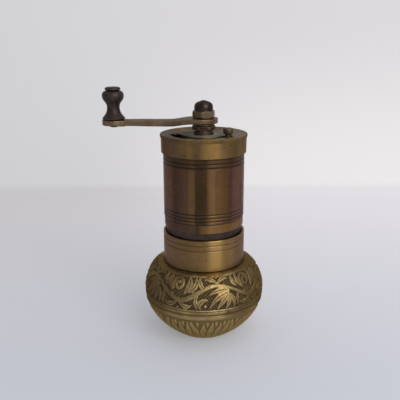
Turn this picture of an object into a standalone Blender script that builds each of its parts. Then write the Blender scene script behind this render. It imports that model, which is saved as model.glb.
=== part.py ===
# Hand grinder: a brass pepper and coffee mill that is taken apart into cup, mill and crank.
# Metres, +Z up. The origin is the middle of the cup's flat underside, and the spindle is the Z axis.
import math

import bmesh
import bpy
from mathutils import Vector

# Clearances
SEAT_GAP = 0.0003
SMALLEST = 0.0000001
CUT_PAST_FACE = 0.0010

# Roundness of the turned pieces
LARGE_SIDES = 42
MEDIUM_SIDES = 28
FLATTED_SIDES = 24
SMALL_SIDES = 20
TINY_SIDES = 14
SHARP_ANGLE = math.radians(32.0)

# Cup
FOOT_RADIUS = 0.0143
FOOT_FLARE_OUT = 0.0068
FOOT_FLARE_UP = 0.0044
BELLY_RADIUS = 0.0305
BELLY_HEIGHT = 0.0230
BELLY_HANDLE_DOWN = 0.0099
BELLY_HANDLE_UP = 0.0075
SHOULDER_HEIGHT = 0.0387
SHOULDER_HANDLE = 0.0056
SHOULDER_LEDGE = 0.0005
CUP_WALL = 0.0016
OUTSIDE_CURVE_POINTS = 7
INSIDE_CURVE_POINTS = 4
LEDGE_RISE = 0.0028
THROAT_WALL = 0.0013
BELT_LINE_LOW = 0.0195
BELT_LINE_HIGH = 0.0217
BELT_LINE_DEPTH = 0.0005
BELT_LINE_HALF_WIDTH = 0.0006

# Plate that closes the cup's foot
BASE_HOLE_RADIUS = 0.0108
BASE_LIP = 0.0009
BASE_FLANGE = 0.0017
BASE_FLANGE_THICKNESS = 0.0009

# Neck
NECK_WALL = 0.00125
NECK_LENGTH = 0.0157
NECK_LINE_HIGH = 0.0027
NECK_LINE_LOW = 0.0052
LINE_DEPTH = 0.00025
LINE_HALF_WIDTH = 0.0003
EDGE_CHAMFER = 0.0003

# Barrel
BARREL_RADIUS = 0.0200
BARREL_WALL = 0.0008
BARREL_LENGTH = 0.0442
BARREL_STANDS_OFF = 0.0035
BARREL_BAND_HEIGHT = 0.0045
BARREL_BAND_STEP = 0.00025
BARREL_LINES_FROM_BOTTOM = (0.0061, 0.0079, 0.0098)
BARREL_LINE_UNDER_CAP = 0.0020
BARREL_GROOVE_UNDER_CAP = 0.0043
BARREL_GROOVE_DEPTH = 0.0004
BARREL_GROOVE_HALF_WIDTH = 0.0005

# Spigot sleeve
SLEEVE_WALL = 0.0010
SLEEVE_LENGTH = 0.0285

# Burrs
BURR_TEETH = 20
BURR_FLUTES = 5
POINTS_PER_TOOTH = 3
INNER_BURR_RADIUS = 0.0124
INNER_BURR_TOP_RADIUS = 0.0065
INNER_BURR_HEIGHT = 0.0145
FINE_ZONE_HEIGHT = 0.0035
FINE_ZONE_TAPER = 0.0012
FINE_TOOTH_DEPTH = 0.0008
FLUTE_DEPTH = 0.0022
FLUTE_SHARE_OF_CONE = 0.87
BURR_TWIST = math.radians(42.0)
BURR_STANDS_UP = 0.0005
GRINDING_GAP = 0.0005
OUTER_BURR_HEIGHT = 0.0140
OUTER_BURR_THROAT_RADIUS = 0.0142
OUTER_TOOTH_DEPTH = 0.0007
CONE_LEVELS = 5
FUNNEL_LEVELS = 4

# Spindle
SHAFT_RADIUS = 0.0030
SHAFT_ARM_FLAT = 0.0023
SHAFT_BURR_FLAT = 0.0030
SHAFT_BURR_CORNER = 0.0041
SHAFT_FLANGE_RADIUS = 0.0048
SHAFT_FLANGE_THICKNESS = 0.0014
SHAFT_TIP_RADIUS = 0.0022
SHAFT_TIP_LENGTH = 0.0025
SQUARE_SHORT_OF_BURR = 0.0004
SHAFT_TOP_CLEARANCE = 0.0004

# Thrust ball, adjusting screw and lower bridge
BALL_RADIUS = 0.0015
SCREW_RADIUS = 0.0030
SCREW_CUP_DEPTH = 0.0004
SCREW_CUP_FLOOR_RADIUS = 0.0013
SCREW_RIM_WIDTH = 0.0003
SCREW_HEAD_RADIUS = 0.0055
SCREW_HEAD_THICKNESS = 0.0030
SCREW_HEAD_TEETH = 18
SCREW_HEAD_TOOTH_DEPTH = 0.0004
SCREW_HEAD_CHAMFER = 0.0005
ADJUST_UP = 0.0005
ADJUST_DOWN = 0.0003
STRAP_WIDTH = 0.0080
STRAP_THICKNESS = 0.0015
STRAP_FOOT_LENGTH = 0.0053
STRAP_LEG_RUN = 0.0040
BOSS_RADIUS = 0.0050
BOSS_HEIGHT = 0.0075
STRAP_SCREW_SEAT_RADIUS = 0.0155
STRAP_SCREW_RADIUS = 0.0009
STRAP_SCREW_HEAD_RADIUS = 0.0015
STRAP_SCREW_HEAD_THICKNESS = 0.0009
STRAP_SCREW_GRIP = 0.0040

# Upper bridge and its bush
BRIDGE_THICKNESS = 0.0020
BRIDGE_RING_WIDTH = 0.0015
BRIDGE_ARM_WIDTH = 0.0070
BRIDGE_HUB_RADIUS = 0.0065
BUSH_WALL = 0.0006
BUSH_FLANGE_WIDTH = 0.0017
BUSH_FLANGE_THICKNESS = 0.0010

# Feed spring
SPRING_WIRE_RADIUS = 0.0005
SPRING_COIL_RADIUS = 0.0050
SPRING_TURNS = 7
SPRING_POINTS_PER_TURN = 10

# Cap
CAP_PLATE = 0.0008
CAP_DEPTH = 0.0088
CAP_SKIRT_WALL = 0.00055
CAP_SKIRT_SWELL = 0.00015
CAP_RIM_HEIGHT = 0.0012
CAP_RIM_PROUD = 0.00034
SLOT_INNER_RADIUS = 0.0106
SLOT_OUTER_RADIUS = 0.0163
SLOT_OPEN_END = math.radians(191.0)
SLOT_KNOB_END = math.radians(325.0)
SLOT_STEPS = 18
SLOT_END_STEPS = 6

# Cap bush and what holds the shutter
CAP_BUSH_WALL = 0.0007
CAP_BOSS_RADIUS = 0.0048
CAP_BOSS_HEIGHT = 0.0009
CAP_BUSH_STEP = 0.0003
SHUTTER_WASHER_RADIUS = 0.0066
SHUTTER_WASHER_THICKNESS = 0.0007
CAP_BUSH_TAIL = 0.0003

# Shutter
SHUTTER_RADIUS = 0.0170
SHUTTER_THICKNESS = 0.0007
SHUTTER_CUT_FROM_AXIS = 0.0098
SHUTTER_CUT_TOWARDS = math.radians(206.0)
SHUTTER_STEM_RADIUS = 0.0015
SHUTTER_TAIL_RADIUS = 0.0009
SHUTTER_HEAD_RADIUS = 0.00235
SHUTTER_HEAD_NECK = 0.0018
SHUTTER_HEAD_BOTTOM_ABOVE_CAP = 0.0010
SHUTTER_HEAD_HEIGHT = 0.0027
SHUTTER_HEAD_FLARE = 0.0009

# Stack under and over the arm
HEX_HALF_FLAT = 0.0050
HEX_CHAMFER = 0.0005
HEX_FACE_INSET = 0.0001
LOCK_NUT_HEIGHT = 0.0022
LOCK_NUT_TURN = math.radians(30.0)
ARM_WASHER_RADIUS = 0.0053
ARM_WASHER_THICKNESS = 0.0005
ACORN_TURN = math.radians(-12.0)
ACORN_HEX_HEIGHT = 0.0033
ACORN_DOME_RADIUS = 0.00455
ACORN_DOME_SIDE = 0.0014
ACORN_DOME_FULLNESS = 0.8
ACORN_HEIGHT = 0.0083
ACORN_TIP_RADIUS = 0.00045
ACORN_TIP_RISE = 0.0005
ACORN_BORE_DEPTH = 0.0058
ACORN_DOME_STEPS = 5

# Crank arm
CRANK_REACH = 0.0434
ARM_THICKNESS = 0.0023
ARM_HUB_RADIUS = 0.0069
ARM_EYE_RADIUS = 0.0056
ARM_HALF_WIDTH_AT_HUB = 0.0047
ARM_HALF_WIDTH_AT_EYE = 0.0037
ARM_JOGGLE_DROP = 0.0008
ARM_JOGGLE_START = 0.0065
ARM_JOGGLE_LENGTH = 0.0080
ARM_RISE_TO_EYE = 0.0002
ARM_EDGE = 0.0003
ARM_ROUND_STEPS = 9
ARM_JOGGLE_STEPS = 8
ARM_STRAIGHT_STEPS = 4

# Knob and the pin it turns on
PIN_RADIUS = 0.0016
PIN_LOW_HEAD_RADIUS = 0.00215
PIN_LOW_HEAD_HEIGHT = 0.0011
PIN_TOP_HEAD_RADIUS = 0.00376
PIN_TOP_HEAD_HEIGHT = 0.0015
PIN_TOP_HEAD_UNDERCUT = 0.0006
PIN_TOP_HEAD_FLARE = 0.0005
PIN_TOP_HEAD_SIDE = 0.00025
PIN_TOP_HEAD_SHOULDER = 0.00075
PIN_TOP_HEAD_CROWN = 0.00015
KNOB_HEIGHT = 0.0135
KNOB_BASE_RADIUS = 0.00545
KNOB_BASE_BAND = 0.0010
KNOB_WAIST_RADIUS = 0.00304
KNOB_WAIST_HEIGHT = 0.0057
KNOB_BULGE_RADIUS = 0.00524
KNOB_BULGE_HEIGHT = 0.0112
KNOB_TOP_RADIUS = 0.0032
KNOB_SHOULDER_FULLNESS = 0.7
KNOB_CURVE_POINTS = 6

# Heights and radii that follow from the sizes above
NECK_BOTTOM = SHOULDER_HEIGHT + SEAT_GAP
NECK_TOP = NECK_BOTTOM + NECK_LENGTH
LEDGE_HEIGHT = SHOULDER_HEIGHT + LEDGE_RISE
SLEEVE_BOTTOM = LEDGE_HEIGHT + SEAT_GAP
SLEEVE_TOP = SLEEVE_BOTTOM + SLEEVE_LENGTH
BARREL_BOTTOM = NECK_TOP + BARREL_STANDS_OFF
BARREL_TOP = BARREL_BOTTOM + BARREL_LENGTH
CAP_UNDERSIDE = BARREL_TOP + SEAT_GAP
CAP_TOP = CAP_UNDERSIDE + CAP_PLATE

BARREL_BORE = BARREL_RADIUS - BARREL_WALL
SLEEVE_RADIUS = BARREL_BORE - SEAT_GAP
SLEEVE_BORE = SLEEVE_RADIUS - SLEEVE_WALL
NECK_BORE = SLEEVE_RADIUS + SEAT_GAP
NECK_RADIUS = NECK_BORE + NECK_WALL
LIP_RADIUS = NECK_BORE - SEAT_GAP
THROAT_RADIUS = LIP_RADIUS - THROAT_WALL
SHOULDER_RADIUS = NECK_RADIUS + SHOULDER_LEDGE

OUTER_BURR_RADIUS = SLEEVE_BORE - SEAT_GAP
OUTER_BURR_BOTTOM = SLEEVE_BOTTOM + SEAT_GAP
OUTER_BURR_MOUTH = INNER_BURR_RADIUS + GRINDING_GAP
INNER_BURR_BOTTOM = OUTER_BURR_BOTTOM + BURR_STANDS_UP
INNER_BURR_TOP = INNER_BURR_BOTTOM + INNER_BURR_HEIGHT
STRAP_TOP = OUTER_BURR_BOTTOM - SEAT_GAP
STRAP_REACH = THROAT_RADIUS - SEAT_GAP

SHAFT_FLANGE_TOP = INNER_BURR_BOTTOM - SEAT_GAP
SHAFT_FLANGE_BOTTOM = SHAFT_FLANGE_TOP - SHAFT_FLANGE_THICKNESS
SHAFT_BOTTOM = SHAFT_FLANGE_BOTTOM - SHAFT_TIP_LENGTH
SHAFT_BORE = SHAFT_RADIUS + SEAT_GAP
BALL_CENTRE = SHAFT_BOTTOM - SEAT_GAP - BALL_RADIUS
SCREW_TOP = BALL_CENTRE - BALL_RADIUS - SEAT_GAP + SCREW_CUP_DEPTH
SCREW_BORE = SCREW_RADIUS + SEAT_GAP
BOSS_TOP = SHAFT_BOTTOM + SEAT_GAP
BOSS_BOTTOM = BOSS_TOP - BOSS_HEIGHT
SCREW_HEAD_TOP = BOSS_BOTTOM - ADJUST_UP - SEAT_GAP
SCREW_HEAD_BOTTOM = SCREW_HEAD_TOP - SCREW_HEAD_THICKNESS

BRIDGE_BOTTOM = SLEEVE_TOP + SEAT_GAP
BRIDGE_TOP = BRIDGE_BOTTOM + BRIDGE_THICKNESS
BUSH_RADIUS = SHAFT_BORE + BUSH_WALL
SPRING_BOTTOM = INNER_BURR_TOP + SEAT_GAP
SPRING_TOP = BRIDGE_BOTTOM - SEAT_GAP

CAP_BUSH_RADIUS = SHAFT_BORE + CAP_BUSH_WALL
CAP_HOLE_RADIUS = CAP_BUSH_RADIUS + SEAT_GAP
CAP_BOSS_BOTTOM = CAP_TOP + SEAT_GAP
CAP_BOSS_TOP = CAP_BOSS_BOTTOM + CAP_BOSS_HEIGHT
SHUTTER_TOP = CAP_UNDERSIDE - SEAT_GAP
SHUTTER_BOTTOM = SHUTTER_TOP - SHUTTER_THICKNESS
SHUTTER_WASHER_TOP = SHUTTER_BOTTOM - SEAT_GAP
SHUTTER_WASHER_BOTTOM = SHUTTER_WASHER_TOP - SHUTTER_WASHER_THICKNESS
CAP_BUSH_BOTTOM = SHUTTER_WASHER_BOTTOM - CAP_BUSH_TAIL
SLOT_MIDDLE_RADIUS = (SLOT_INNER_RADIUS + SLOT_OUTER_RADIUS) / 2
SLOT_END_RADIUS = (SLOT_OUTER_RADIUS - SLOT_INNER_RADIUS) / 2
STEM_PAST_SLOT_END = SLOT_END_RADIUS - SHUTTER_STEM_RADIUS - SEAT_GAP
STEM_ANGLE = SLOT_KNOB_END + STEM_PAST_SLOT_END / SLOT_MIDDLE_RADIUS

LOCK_NUT_BOTTOM = CAP_BOSS_TOP + ADJUST_DOWN + SEAT_GAP
LOCK_NUT_TOP = LOCK_NUT_BOTTOM + LOCK_NUT_HEIGHT
ARM_WASHER_BOTTOM = LOCK_NUT_TOP + SEAT_GAP
ARM_BOTTOM = ARM_WASHER_BOTTOM + ARM_WASHER_THICKNESS + SEAT_GAP
ARM_TOP = ARM_BOTTOM + ARM_THICKNESS
ACORN_BOTTOM = ARM_TOP + SEAT_GAP
SHAFT_TOP = ACORN_BOTTOM + ACORN_BORE_DEPTH - SHAFT_TOP_CLEARANCE
EYE_BOTTOM = ARM_BOTTOM - ARM_JOGGLE_DROP + ARM_RISE_TO_EYE
EYE_TOP = EYE_BOTTOM + ARM_THICKNESS
KNOB_BOTTOM = EYE_TOP + SEAT_GAP
KNOB_TOP = KNOB_BOTTOM + KNOB_HEIGHT
PIN_BORE = PIN_RADIUS + SEAT_GAP

# Finishes: colour, roughness, metallic
AGED_BRASS = ((0.30, 0.22, 0.10), 0.38, 1.0)
NECK_BRASS = ((0.42, 0.28, 0.12), 0.32, 1.0)
BROWN_BRASS = ((0.20, 0.11, 0.055), 0.30, 1.0)
CAP_BRASS = ((0.22, 0.15, 0.07), 0.42, 1.0)
DARK_TUBE = ((0.07, 0.05, 0.045), 0.45, 1.0)
OLD_BRONZE = ((0.20, 0.14, 0.10), 0.45, 1.0)
BLACK_METAL = ((0.035, 0.026, 0.024), 0.40, 0.6)
BARE_STEEL = ((0.45, 0.44, 0.42), 0.35, 1.0)
BURR_STEEL = ((0.22, 0.21, 0.20), 0.50, 1.0)


def clear_objects():
    for old in list(bpy.data.objects):
        bpy.data.objects.remove(old, do_unlink=True)


def finish_material(name, finish):
    colour, roughness, metallic = finish
    material = bpy.data.materials.new(name + "_finish")
    material.use_nodes = True
    shader = material.node_tree.nodes["Principled BSDF"]
    shader.inputs["Base Color"].default_value = (*colour, 1.0)
    shader.inputs["Roughness"].default_value = roughness
    shader.inputs["Metallic"].default_value = metallic
    return material


def body_frame(name, place=(0.0, 0.0, 0.0), parent=None):
    frame = bpy.data.objects.new(name, None)
    frame.empty_display_size = SHAFT_FLANGE_RADIUS
    frame.location = place
    frame.parent = parent
    bpy.context.collection.objects.link(frame)
    return frame


def add_piece(name, shape, finish, body, height=0.0):
    mesh = bpy.data.meshes.new(name)
    shape.to_mesh(mesh)
    shape.free()
    mesh.shade_smooth()
    mesh.set_sharp_from_angle(angle=SHARP_ANGLE)
    mesh.materials.append(finish_material(name, finish))
    piece = bpy.data.objects.new(name, mesh)
    piece.location = (0.0, 0.0, height)
    piece.parent = body
    bpy.context.collection.objects.link(piece)
    return piece


def add_tool(name, shape, body, height=0.0):
    mesh = bpy.data.meshes.new(name)
    shape.to_mesh(mesh)
    shape.free()
    tool = bpy.data.objects.new(name, mesh)
    tool.location = (0.0, 0.0, height)
    tool.parent = body
    tool.hide_render = True
    tool.display_type = "WIRE"
    bpy.context.collection.objects.link(tool)
    return tool


def combine(piece, tool, operation):
    modifier = piece.modifiers.new(tool.name, "BOOLEAN")
    modifier.operation = operation
    modifier.solver = "EXACT"
    modifier.object = tool


# A closed outline of (radius, height) points, spun round the Z axis
def turned_shape(outline, sides):
    shape = bmesh.new()
    points = [shape.verts.new((radius, 0.0, height)) for radius, height in outline]
    edges = []
    for first, second in zip(points, points[1:] + points[:1]):
        if first.co.x > SMALLEST or second.co.x > SMALLEST:
            edges.append(shape.edges.new((first, second)))
    bmesh.ops.spin(
        shape,
        geom=points + edges,
        cent=(0.0, 0.0, 0.0),
        axis=(0.0, 0.0, 1.0),
        angle=2.0 * math.pi,
        steps=sides,
        use_merge=True,
    )
    bmesh.ops.remove_doubles(shape, verts=shape.verts, dist=SMALLEST)
    bmesh.ops.recalc_face_normals(shape, faces=shape.faces)
    return shape


# Rings of points joined by four-sided faces, either closed into a tube wall or capped at both ends
def ringed_shape(rings, closed):
    shape = bmesh.new()
    rows = [[shape.verts.new(point) for point in ring] for ring in rings]
    pairs = list(zip(rows, rows[1:]))
    if closed:
        pairs.append((rows[-1], rows[0]))
    for lower, upper in pairs:
        for index in range(len(lower)):
            following = (index + 1) % len(lower)
            shape.faces.new((lower[index], lower[following], upper[following], upper[index]))
    if not closed:
        shape.faces.new(rows[0])
        shape.faces.new(rows[-1])
    bmesh.ops.recalc_face_normals(shape, faces=shape.faces)
    return shape


# One ring of a bar with flats: a circle of the given radius, cut by flats at the given distance
def flatted_ring(height, radius, half_flat, flats, sides):
    ring = []
    span = 2.0 * math.pi / flats
    for index in range(sides):
        angle = 2.0 * math.pi * index / sides
        from_flat = (angle + span / 2) % span - span / 2
        reach = min(radius, half_flat / math.cos(from_flat))
        ring.append((reach * math.cos(angle), reach * math.sin(angle), height))
    return ring


def round_ring(height, radius, sides):
    return flatted_ring(height, radius, 2.0 * radius, 4, sides)


def cylinder_shape(radius, bottom, top, sides):
    return turned_shape([(0.0, bottom), (radius, bottom), (radius, top), (0.0, top)], sides)


def box_shape(low, high):
    shape = bmesh.new()
    bmesh.ops.create_cube(shape, size=1.0)
    for vertex in shape.verts:
        for axis in range(3):
            vertex.co[axis] = low[axis] if vertex.co[axis] < 0.0 else high[axis]
    return shape


def moved(shape, x, y):
    bmesh.ops.translate(shape, vec=(x, y, 0.0), verts=shape.verts)
    return shape


# Points on a cubic curve from start to end, drawn out by two handles
def curve_points(start, first_handle, second_handle, end, count):
    points = []
    for index in range(count + 1):
        along = index / count
        back = 1.0 - along
        weights = (back**3, 3 * back**2 * along, 3 * back * along**2, along**3)
        corners = (start, first_handle, second_handle, end)
        radius = sum(weight * corner[0] for weight, corner in zip(weights, corners))
        height = sum(weight * corner[1] for weight, corner in zip(weights, corners))
        points.append((radius, height))
    return points


def radius_at(outline, height):
    for (low_radius, low), (high_radius, high) in zip(outline, outline[1:]):
        if low <= height <= high:
            share = (height - low) / (high - low)
            return low_radius + (high_radius - low_radius) * share
    return outline[-1][0]


# V grooves cut into the side of an outline whose heights rise
def grooved(outline, heights, depth, half_width):
    for height in heights:
        low = height - half_width
        high = height + half_width
        notch = [
            (radius_at(outline, low), low),
            (radius_at(outline, height) - depth, height),
            (radius_at(outline, high), high),
        ]
        below = [point for point in outline if point[1] < low]
        above = [point for point in outline if point[1] > high]
        outline = below + notch + above
    return outline


# The same curve moved inwards by the wall's thickness, square to the curve
def inner_wall(outline, wall):
    inner = []
    for index, (radius, height) in enumerate(outline):
        before = outline[max(index - 1, 0)]
        after = outline[min(index + 1, len(outline) - 1)]
        along = Vector((after[0] - before[0], after[1] - before[1])).normalized()
        inner.append((radius - wall * along.y, height + wall * along.x))
    return inner


def belly_curve(count):
    foot = (FOOT_RADIUS, 0.0)
    flare = (FOOT_RADIUS + FOOT_FLARE_OUT, FOOT_FLARE_UP)
    under_belly = (BELLY_RADIUS, BELLY_HEIGHT - BELLY_HANDLE_DOWN)
    belly = (BELLY_RADIUS, BELLY_HEIGHT)
    over_belly = (BELLY_RADIUS, BELLY_HEIGHT + BELLY_HANDLE_UP)
    before_shoulder = (SHOULDER_RADIUS + SHOULDER_HANDLE, SHOULDER_HEIGHT)
    shoulder = (SHOULDER_RADIUS, SHOULDER_HEIGHT)
    lower = curve_points(foot, flare, under_belly, belly, count)
    upper = curve_points(belly, over_belly, before_shoulder, shoulder, count)
    return lower + upper[1:]


def make_cup_bulb(body):
    lines = (BELT_LINE_LOW, BELT_LINE_HIGH)
    curve = belly_curve(OUTSIDE_CURVE_POINTS)
    outside = grooved(curve, lines, BELT_LINE_DEPTH, BELT_LINE_HALF_WIDTH)
    inside = inner_wall(belly_curve(INSIDE_CURVE_POINTS), CUP_WALL)
    floor_radius = inside[0][0]
    shoulder_underside = SHOULDER_HEIGHT - CUP_WALL
    outline = [(BASE_HOLE_RADIUS, 0.0)]
    outline += outside
    outline += [(LIP_RADIUS, SHOULDER_HEIGHT)]
    outline += [(LIP_RADIUS, LEDGE_HEIGHT)]
    outline += [(THROAT_RADIUS, LEDGE_HEIGHT)]
    outline += [(THROAT_RADIUS, shoulder_underside)]
    outline += reversed(inside)
    outline += [(floor_radius, BASE_LIP)]
    outline += [(BASE_HOLE_RADIUS, BASE_LIP)]
    add_piece("cup_bulb", turned_shape(outline, LARGE_SIDES), AGED_BRASS, body)


def make_cup_base(body):
    plug_radius = BASE_HOLE_RADIUS - SEAT_GAP
    flange_radius = plug_radius + BASE_FLANGE
    flange_bottom = BASE_LIP + SEAT_GAP
    flange_top = flange_bottom + BASE_FLANGE_THICKNESS
    outline = [
        (0.0, 0.0),
        (plug_radius, 0.0),
        (plug_radius, flange_bottom),
        (flange_radius, flange_bottom),
        (flange_radius, flange_top),
        (0.0, flange_top),
    ]
    add_piece("cup_base", turned_shape(outline, MEDIUM_SIDES), AGED_BRASS, body)


def make_cup_neck(body):
    lines = (NECK_LENGTH - NECK_LINE_LOW, NECK_LENGTH - NECK_LINE_HIGH)
    side = [(NECK_RADIUS, 0.0), (NECK_RADIUS, NECK_LENGTH - EDGE_CHAMFER)]
    outline = grooved(side, lines, LINE_DEPTH, LINE_HALF_WIDTH)
    outline += [(NECK_RADIUS - EDGE_CHAMFER, NECK_LENGTH)]
    outline += [(NECK_BORE + EDGE_CHAMFER, NECK_LENGTH)]
    outline += [(NECK_BORE, NECK_LENGTH - EDGE_CHAMFER)]
    outline += [(NECK_BORE, 0.0)]
    add_piece("cup_neck", turned_shape(outline, LARGE_SIDES), NECK_BRASS, body, NECK_BOTTOM)


def make_barrel(body):
    cap_edge = CAP_TOP - CAP_DEPTH - BARREL_BOTTOM
    band_radius = BARREL_RADIUS - BARREL_BAND_STEP
    side = [(band_radius, 0.0), (band_radius, BARREL_BAND_HEIGHT)]
    side += [(BARREL_RADIUS, BARREL_BAND_HEIGHT + BARREL_BAND_STEP)]
    side += [(BARREL_RADIUS, BARREL_LENGTH)]
    side = grooved(side, BARREL_LINES_FROM_BOTTOM, LINE_DEPTH, LINE_HALF_WIDTH)
    side = grooved(side, (cap_edge - BARREL_LINE_UNDER_CAP,), LINE_DEPTH, LINE_HALF_WIDTH)
    groove = cap_edge - BARREL_GROOVE_UNDER_CAP
    side = grooved(side, (groove,), BARREL_GROOVE_DEPTH, BARREL_GROOVE_HALF_WIDTH)
    outline = side + [(BARREL_BORE, BARREL_LENGTH), (BARREL_BORE, 0.0)]
    add_piece("barrel", turned_shape(outline, LARGE_SIDES), BROWN_BRASS, body, BARREL_BOTTOM)


def make_spigot_sleeve(body):
    outline = [
        (SLEEVE_BORE, 0.0),
        (SLEEVE_RADIUS, 0.0),
        (SLEEVE_RADIUS, SLEEVE_LENGTH),
        (SLEEVE_BORE, SLEEVE_LENGTH),
    ]
    shape = turned_shape(outline, LARGE_SIDES)
    add_piece("spigot_sleeve", shape, DARK_TUBE, body, SLEEVE_BOTTOM)


# Saw-tooth wave from 0 at the crest to 1 at the root: a steep face, then a long slope
def saw_wave(turn):
    turn = turn % 1.0
    steep = 1.0 / POINTS_PER_TOOTH
    if turn < steep:
        return turn / steep
    return (1.0 - turn) / (1.0 - steep)


def burr_angle(index, height):
    sides = BURR_TEETH * POINTS_PER_TOOTH
    twist = BURR_TWIST * height / INNER_BURR_HEIGHT
    return 2.0 * math.pi * index / sides + twist


def inner_burr_radius(height):
    if height <= FINE_ZONE_HEIGHT:
        return INNER_BURR_RADIUS - FINE_ZONE_TAPER * height / FINE_ZONE_HEIGHT
    share = (height - FINE_ZONE_HEIGHT) / (INNER_BURR_HEIGHT - FINE_ZONE_HEIGHT)
    waist = INNER_BURR_RADIUS - FINE_ZONE_TAPER
    return waist + (INNER_BURR_TOP_RADIUS - waist) * share


def inner_burr_ring(height):
    sides = BURR_TEETH * POINTS_PER_TOOTH
    above = max(0.0, height - FINE_ZONE_HEIGHT) / (INNER_BURR_HEIGHT - FINE_ZONE_HEIGHT)
    fine_depth = FINE_TOOTH_DEPTH * (1.0 - above)
    flute_depth = FLUTE_DEPTH * math.sin(math.pi * min(1.0, above / FLUTE_SHARE_OF_CONE))
    ring = []
    for index in range(sides):
        fine = fine_depth * saw_wave(index / POINTS_PER_TOOTH)
        flute = flute_depth * saw_wave(index * BURR_FLUTES / sides)
        radius = inner_burr_radius(height) - max(fine, flute)
        angle = burr_angle(index, height)
        ring.append((radius * math.cos(angle), radius * math.sin(angle), height))
    return ring


def make_inner_burr(body):
    heights = [0.0, FINE_ZONE_HEIGHT / 2, FINE_ZONE_HEIGHT]
    rest = INNER_BURR_HEIGHT - FINE_ZONE_HEIGHT
    for level in range(1, CONE_LEVELS + 1):
        heights.append(FINE_ZONE_HEIGHT + rest * level / CONE_LEVELS)
    rings = [inner_burr_ring(height) for height in heights]
    burr = add_piece("inner_burr", ringed_shape(rings, False), BURR_STEEL, body, INNER_BURR_BOTTOM)
    half_hole = SHAFT_BURR_FLAT + SEAT_GAP
    low = (-half_hole, -half_hole, -INNER_BURR_HEIGHT)
    high = (half_hole, half_hole, 2.0 * INNER_BURR_HEIGHT)
    hole = add_tool("burr_square_cutter", box_shape(low, high), body, INNER_BURR_BOTTOM)
    combine(burr, hole, "DIFFERENCE")


# Smallest radius of the outer burr: it tapers like the cone in the fine zone, then opens as a funnel
def outer_burr_radius(height):
    fine_top = INNER_BURR_BOTTOM - OUTER_BURR_BOTTOM + FINE_ZONE_HEIGHT
    taper = FINE_ZONE_TAPER / FINE_ZONE_HEIGHT
    if height <= fine_top:
        return OUTER_BURR_MOUTH - taper * max(0.0, height - BURR_STANDS_UP)
    waist = OUTER_BURR_MOUTH - FINE_ZONE_TAPER
    share = (height - fine_top) / (OUTER_BURR_HEIGHT - fine_top)
    return waist + (OUTER_BURR_THROAT_RADIUS - waist) * math.sqrt(share)


def outer_burr_ring(height):
    sides = BURR_TEETH * POINTS_PER_TOOTH
    ring = []
    for index in range(sides):
        depth = OUTER_TOOTH_DEPTH * saw_wave(-index / POINTS_PER_TOOTH)
        radius = outer_burr_radius(height) + depth
        angle = burr_angle(index, -height)
        ring.append((radius * math.cos(angle), radius * math.sin(angle), height))
    return ring


# A plain ring with a toothed funnel cut through it, and two holes for the strap's screws
def make_outer_burr(body):
    ring = cylinder_shape(OUTER_BURR_RADIUS, 0.0, OUTER_BURR_HEIGHT, LARGE_SIDES)
    burr = add_piece("outer_burr", ring, BURR_STEEL, body, OUTER_BURR_BOTTOM)
    fine_top = INNER_BURR_BOTTOM - OUTER_BURR_BOTTOM + FINE_ZONE_HEIGHT
    heights = [-CUT_PAST_FACE, fine_top / 2, fine_top]
    rest = OUTER_BURR_HEIGHT + CUT_PAST_FACE - fine_top
    for level in range(1, FUNNEL_LEVELS + 1):
        heights.append(fine_top + rest * level / FUNNEL_LEVELS)
    core = ringed_shape([outer_burr_ring(height) for height in heights], False)
    combine(burr, add_tool("burr_funnel_cutter", core, body, OUTER_BURR_BOTTOM), "DIFFERENCE")
    for side in (-1, 1):
        hole_radius = STRAP_SCREW_RADIUS + SEAT_GAP
        depth = STRAP_SCREW_GRIP + SEAT_GAP
        hole = cylinder_shape(hole_radius, -depth, depth, TINY_SIDES)
        moved(hole, side * STRAP_SCREW_SEAT_RADIUS, 0.0)
        cutter = add_tool(f"burr_screw_cutter_{side}", hole, body, OUTER_BURR_BOTTOM)
        combine(burr, cutter, "DIFFERENCE")


# Side outline of the strap: two feet under the burr, two sloping legs and a flat bottom
def strap_outline():
    foot_inside = STRAP_REACH - STRAP_FOOT_LENGTH
    leg_inside = foot_inside - STRAP_LEG_RUN
    foot_underside = STRAP_TOP - STRAP_THICKNESS
    bottom = (BOSS_BOTTOM + BOSS_TOP) / 2 - STRAP_THICKNESS / 2
    floor = bottom + STRAP_THICKNESS
    top_line = [(STRAP_REACH, STRAP_TOP), (foot_inside, STRAP_TOP), (leg_inside, floor)]
    low_line = [(leg_inside, bottom), (foot_inside + STRAP_THICKNESS, foot_underside)]
    low_line += [(STRAP_REACH, foot_underside)]
    half = top_line + [(-x, z) for x, z in reversed(top_line)]
    return half + [(-x, z) for x, z in reversed(low_line)] + low_line


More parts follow.
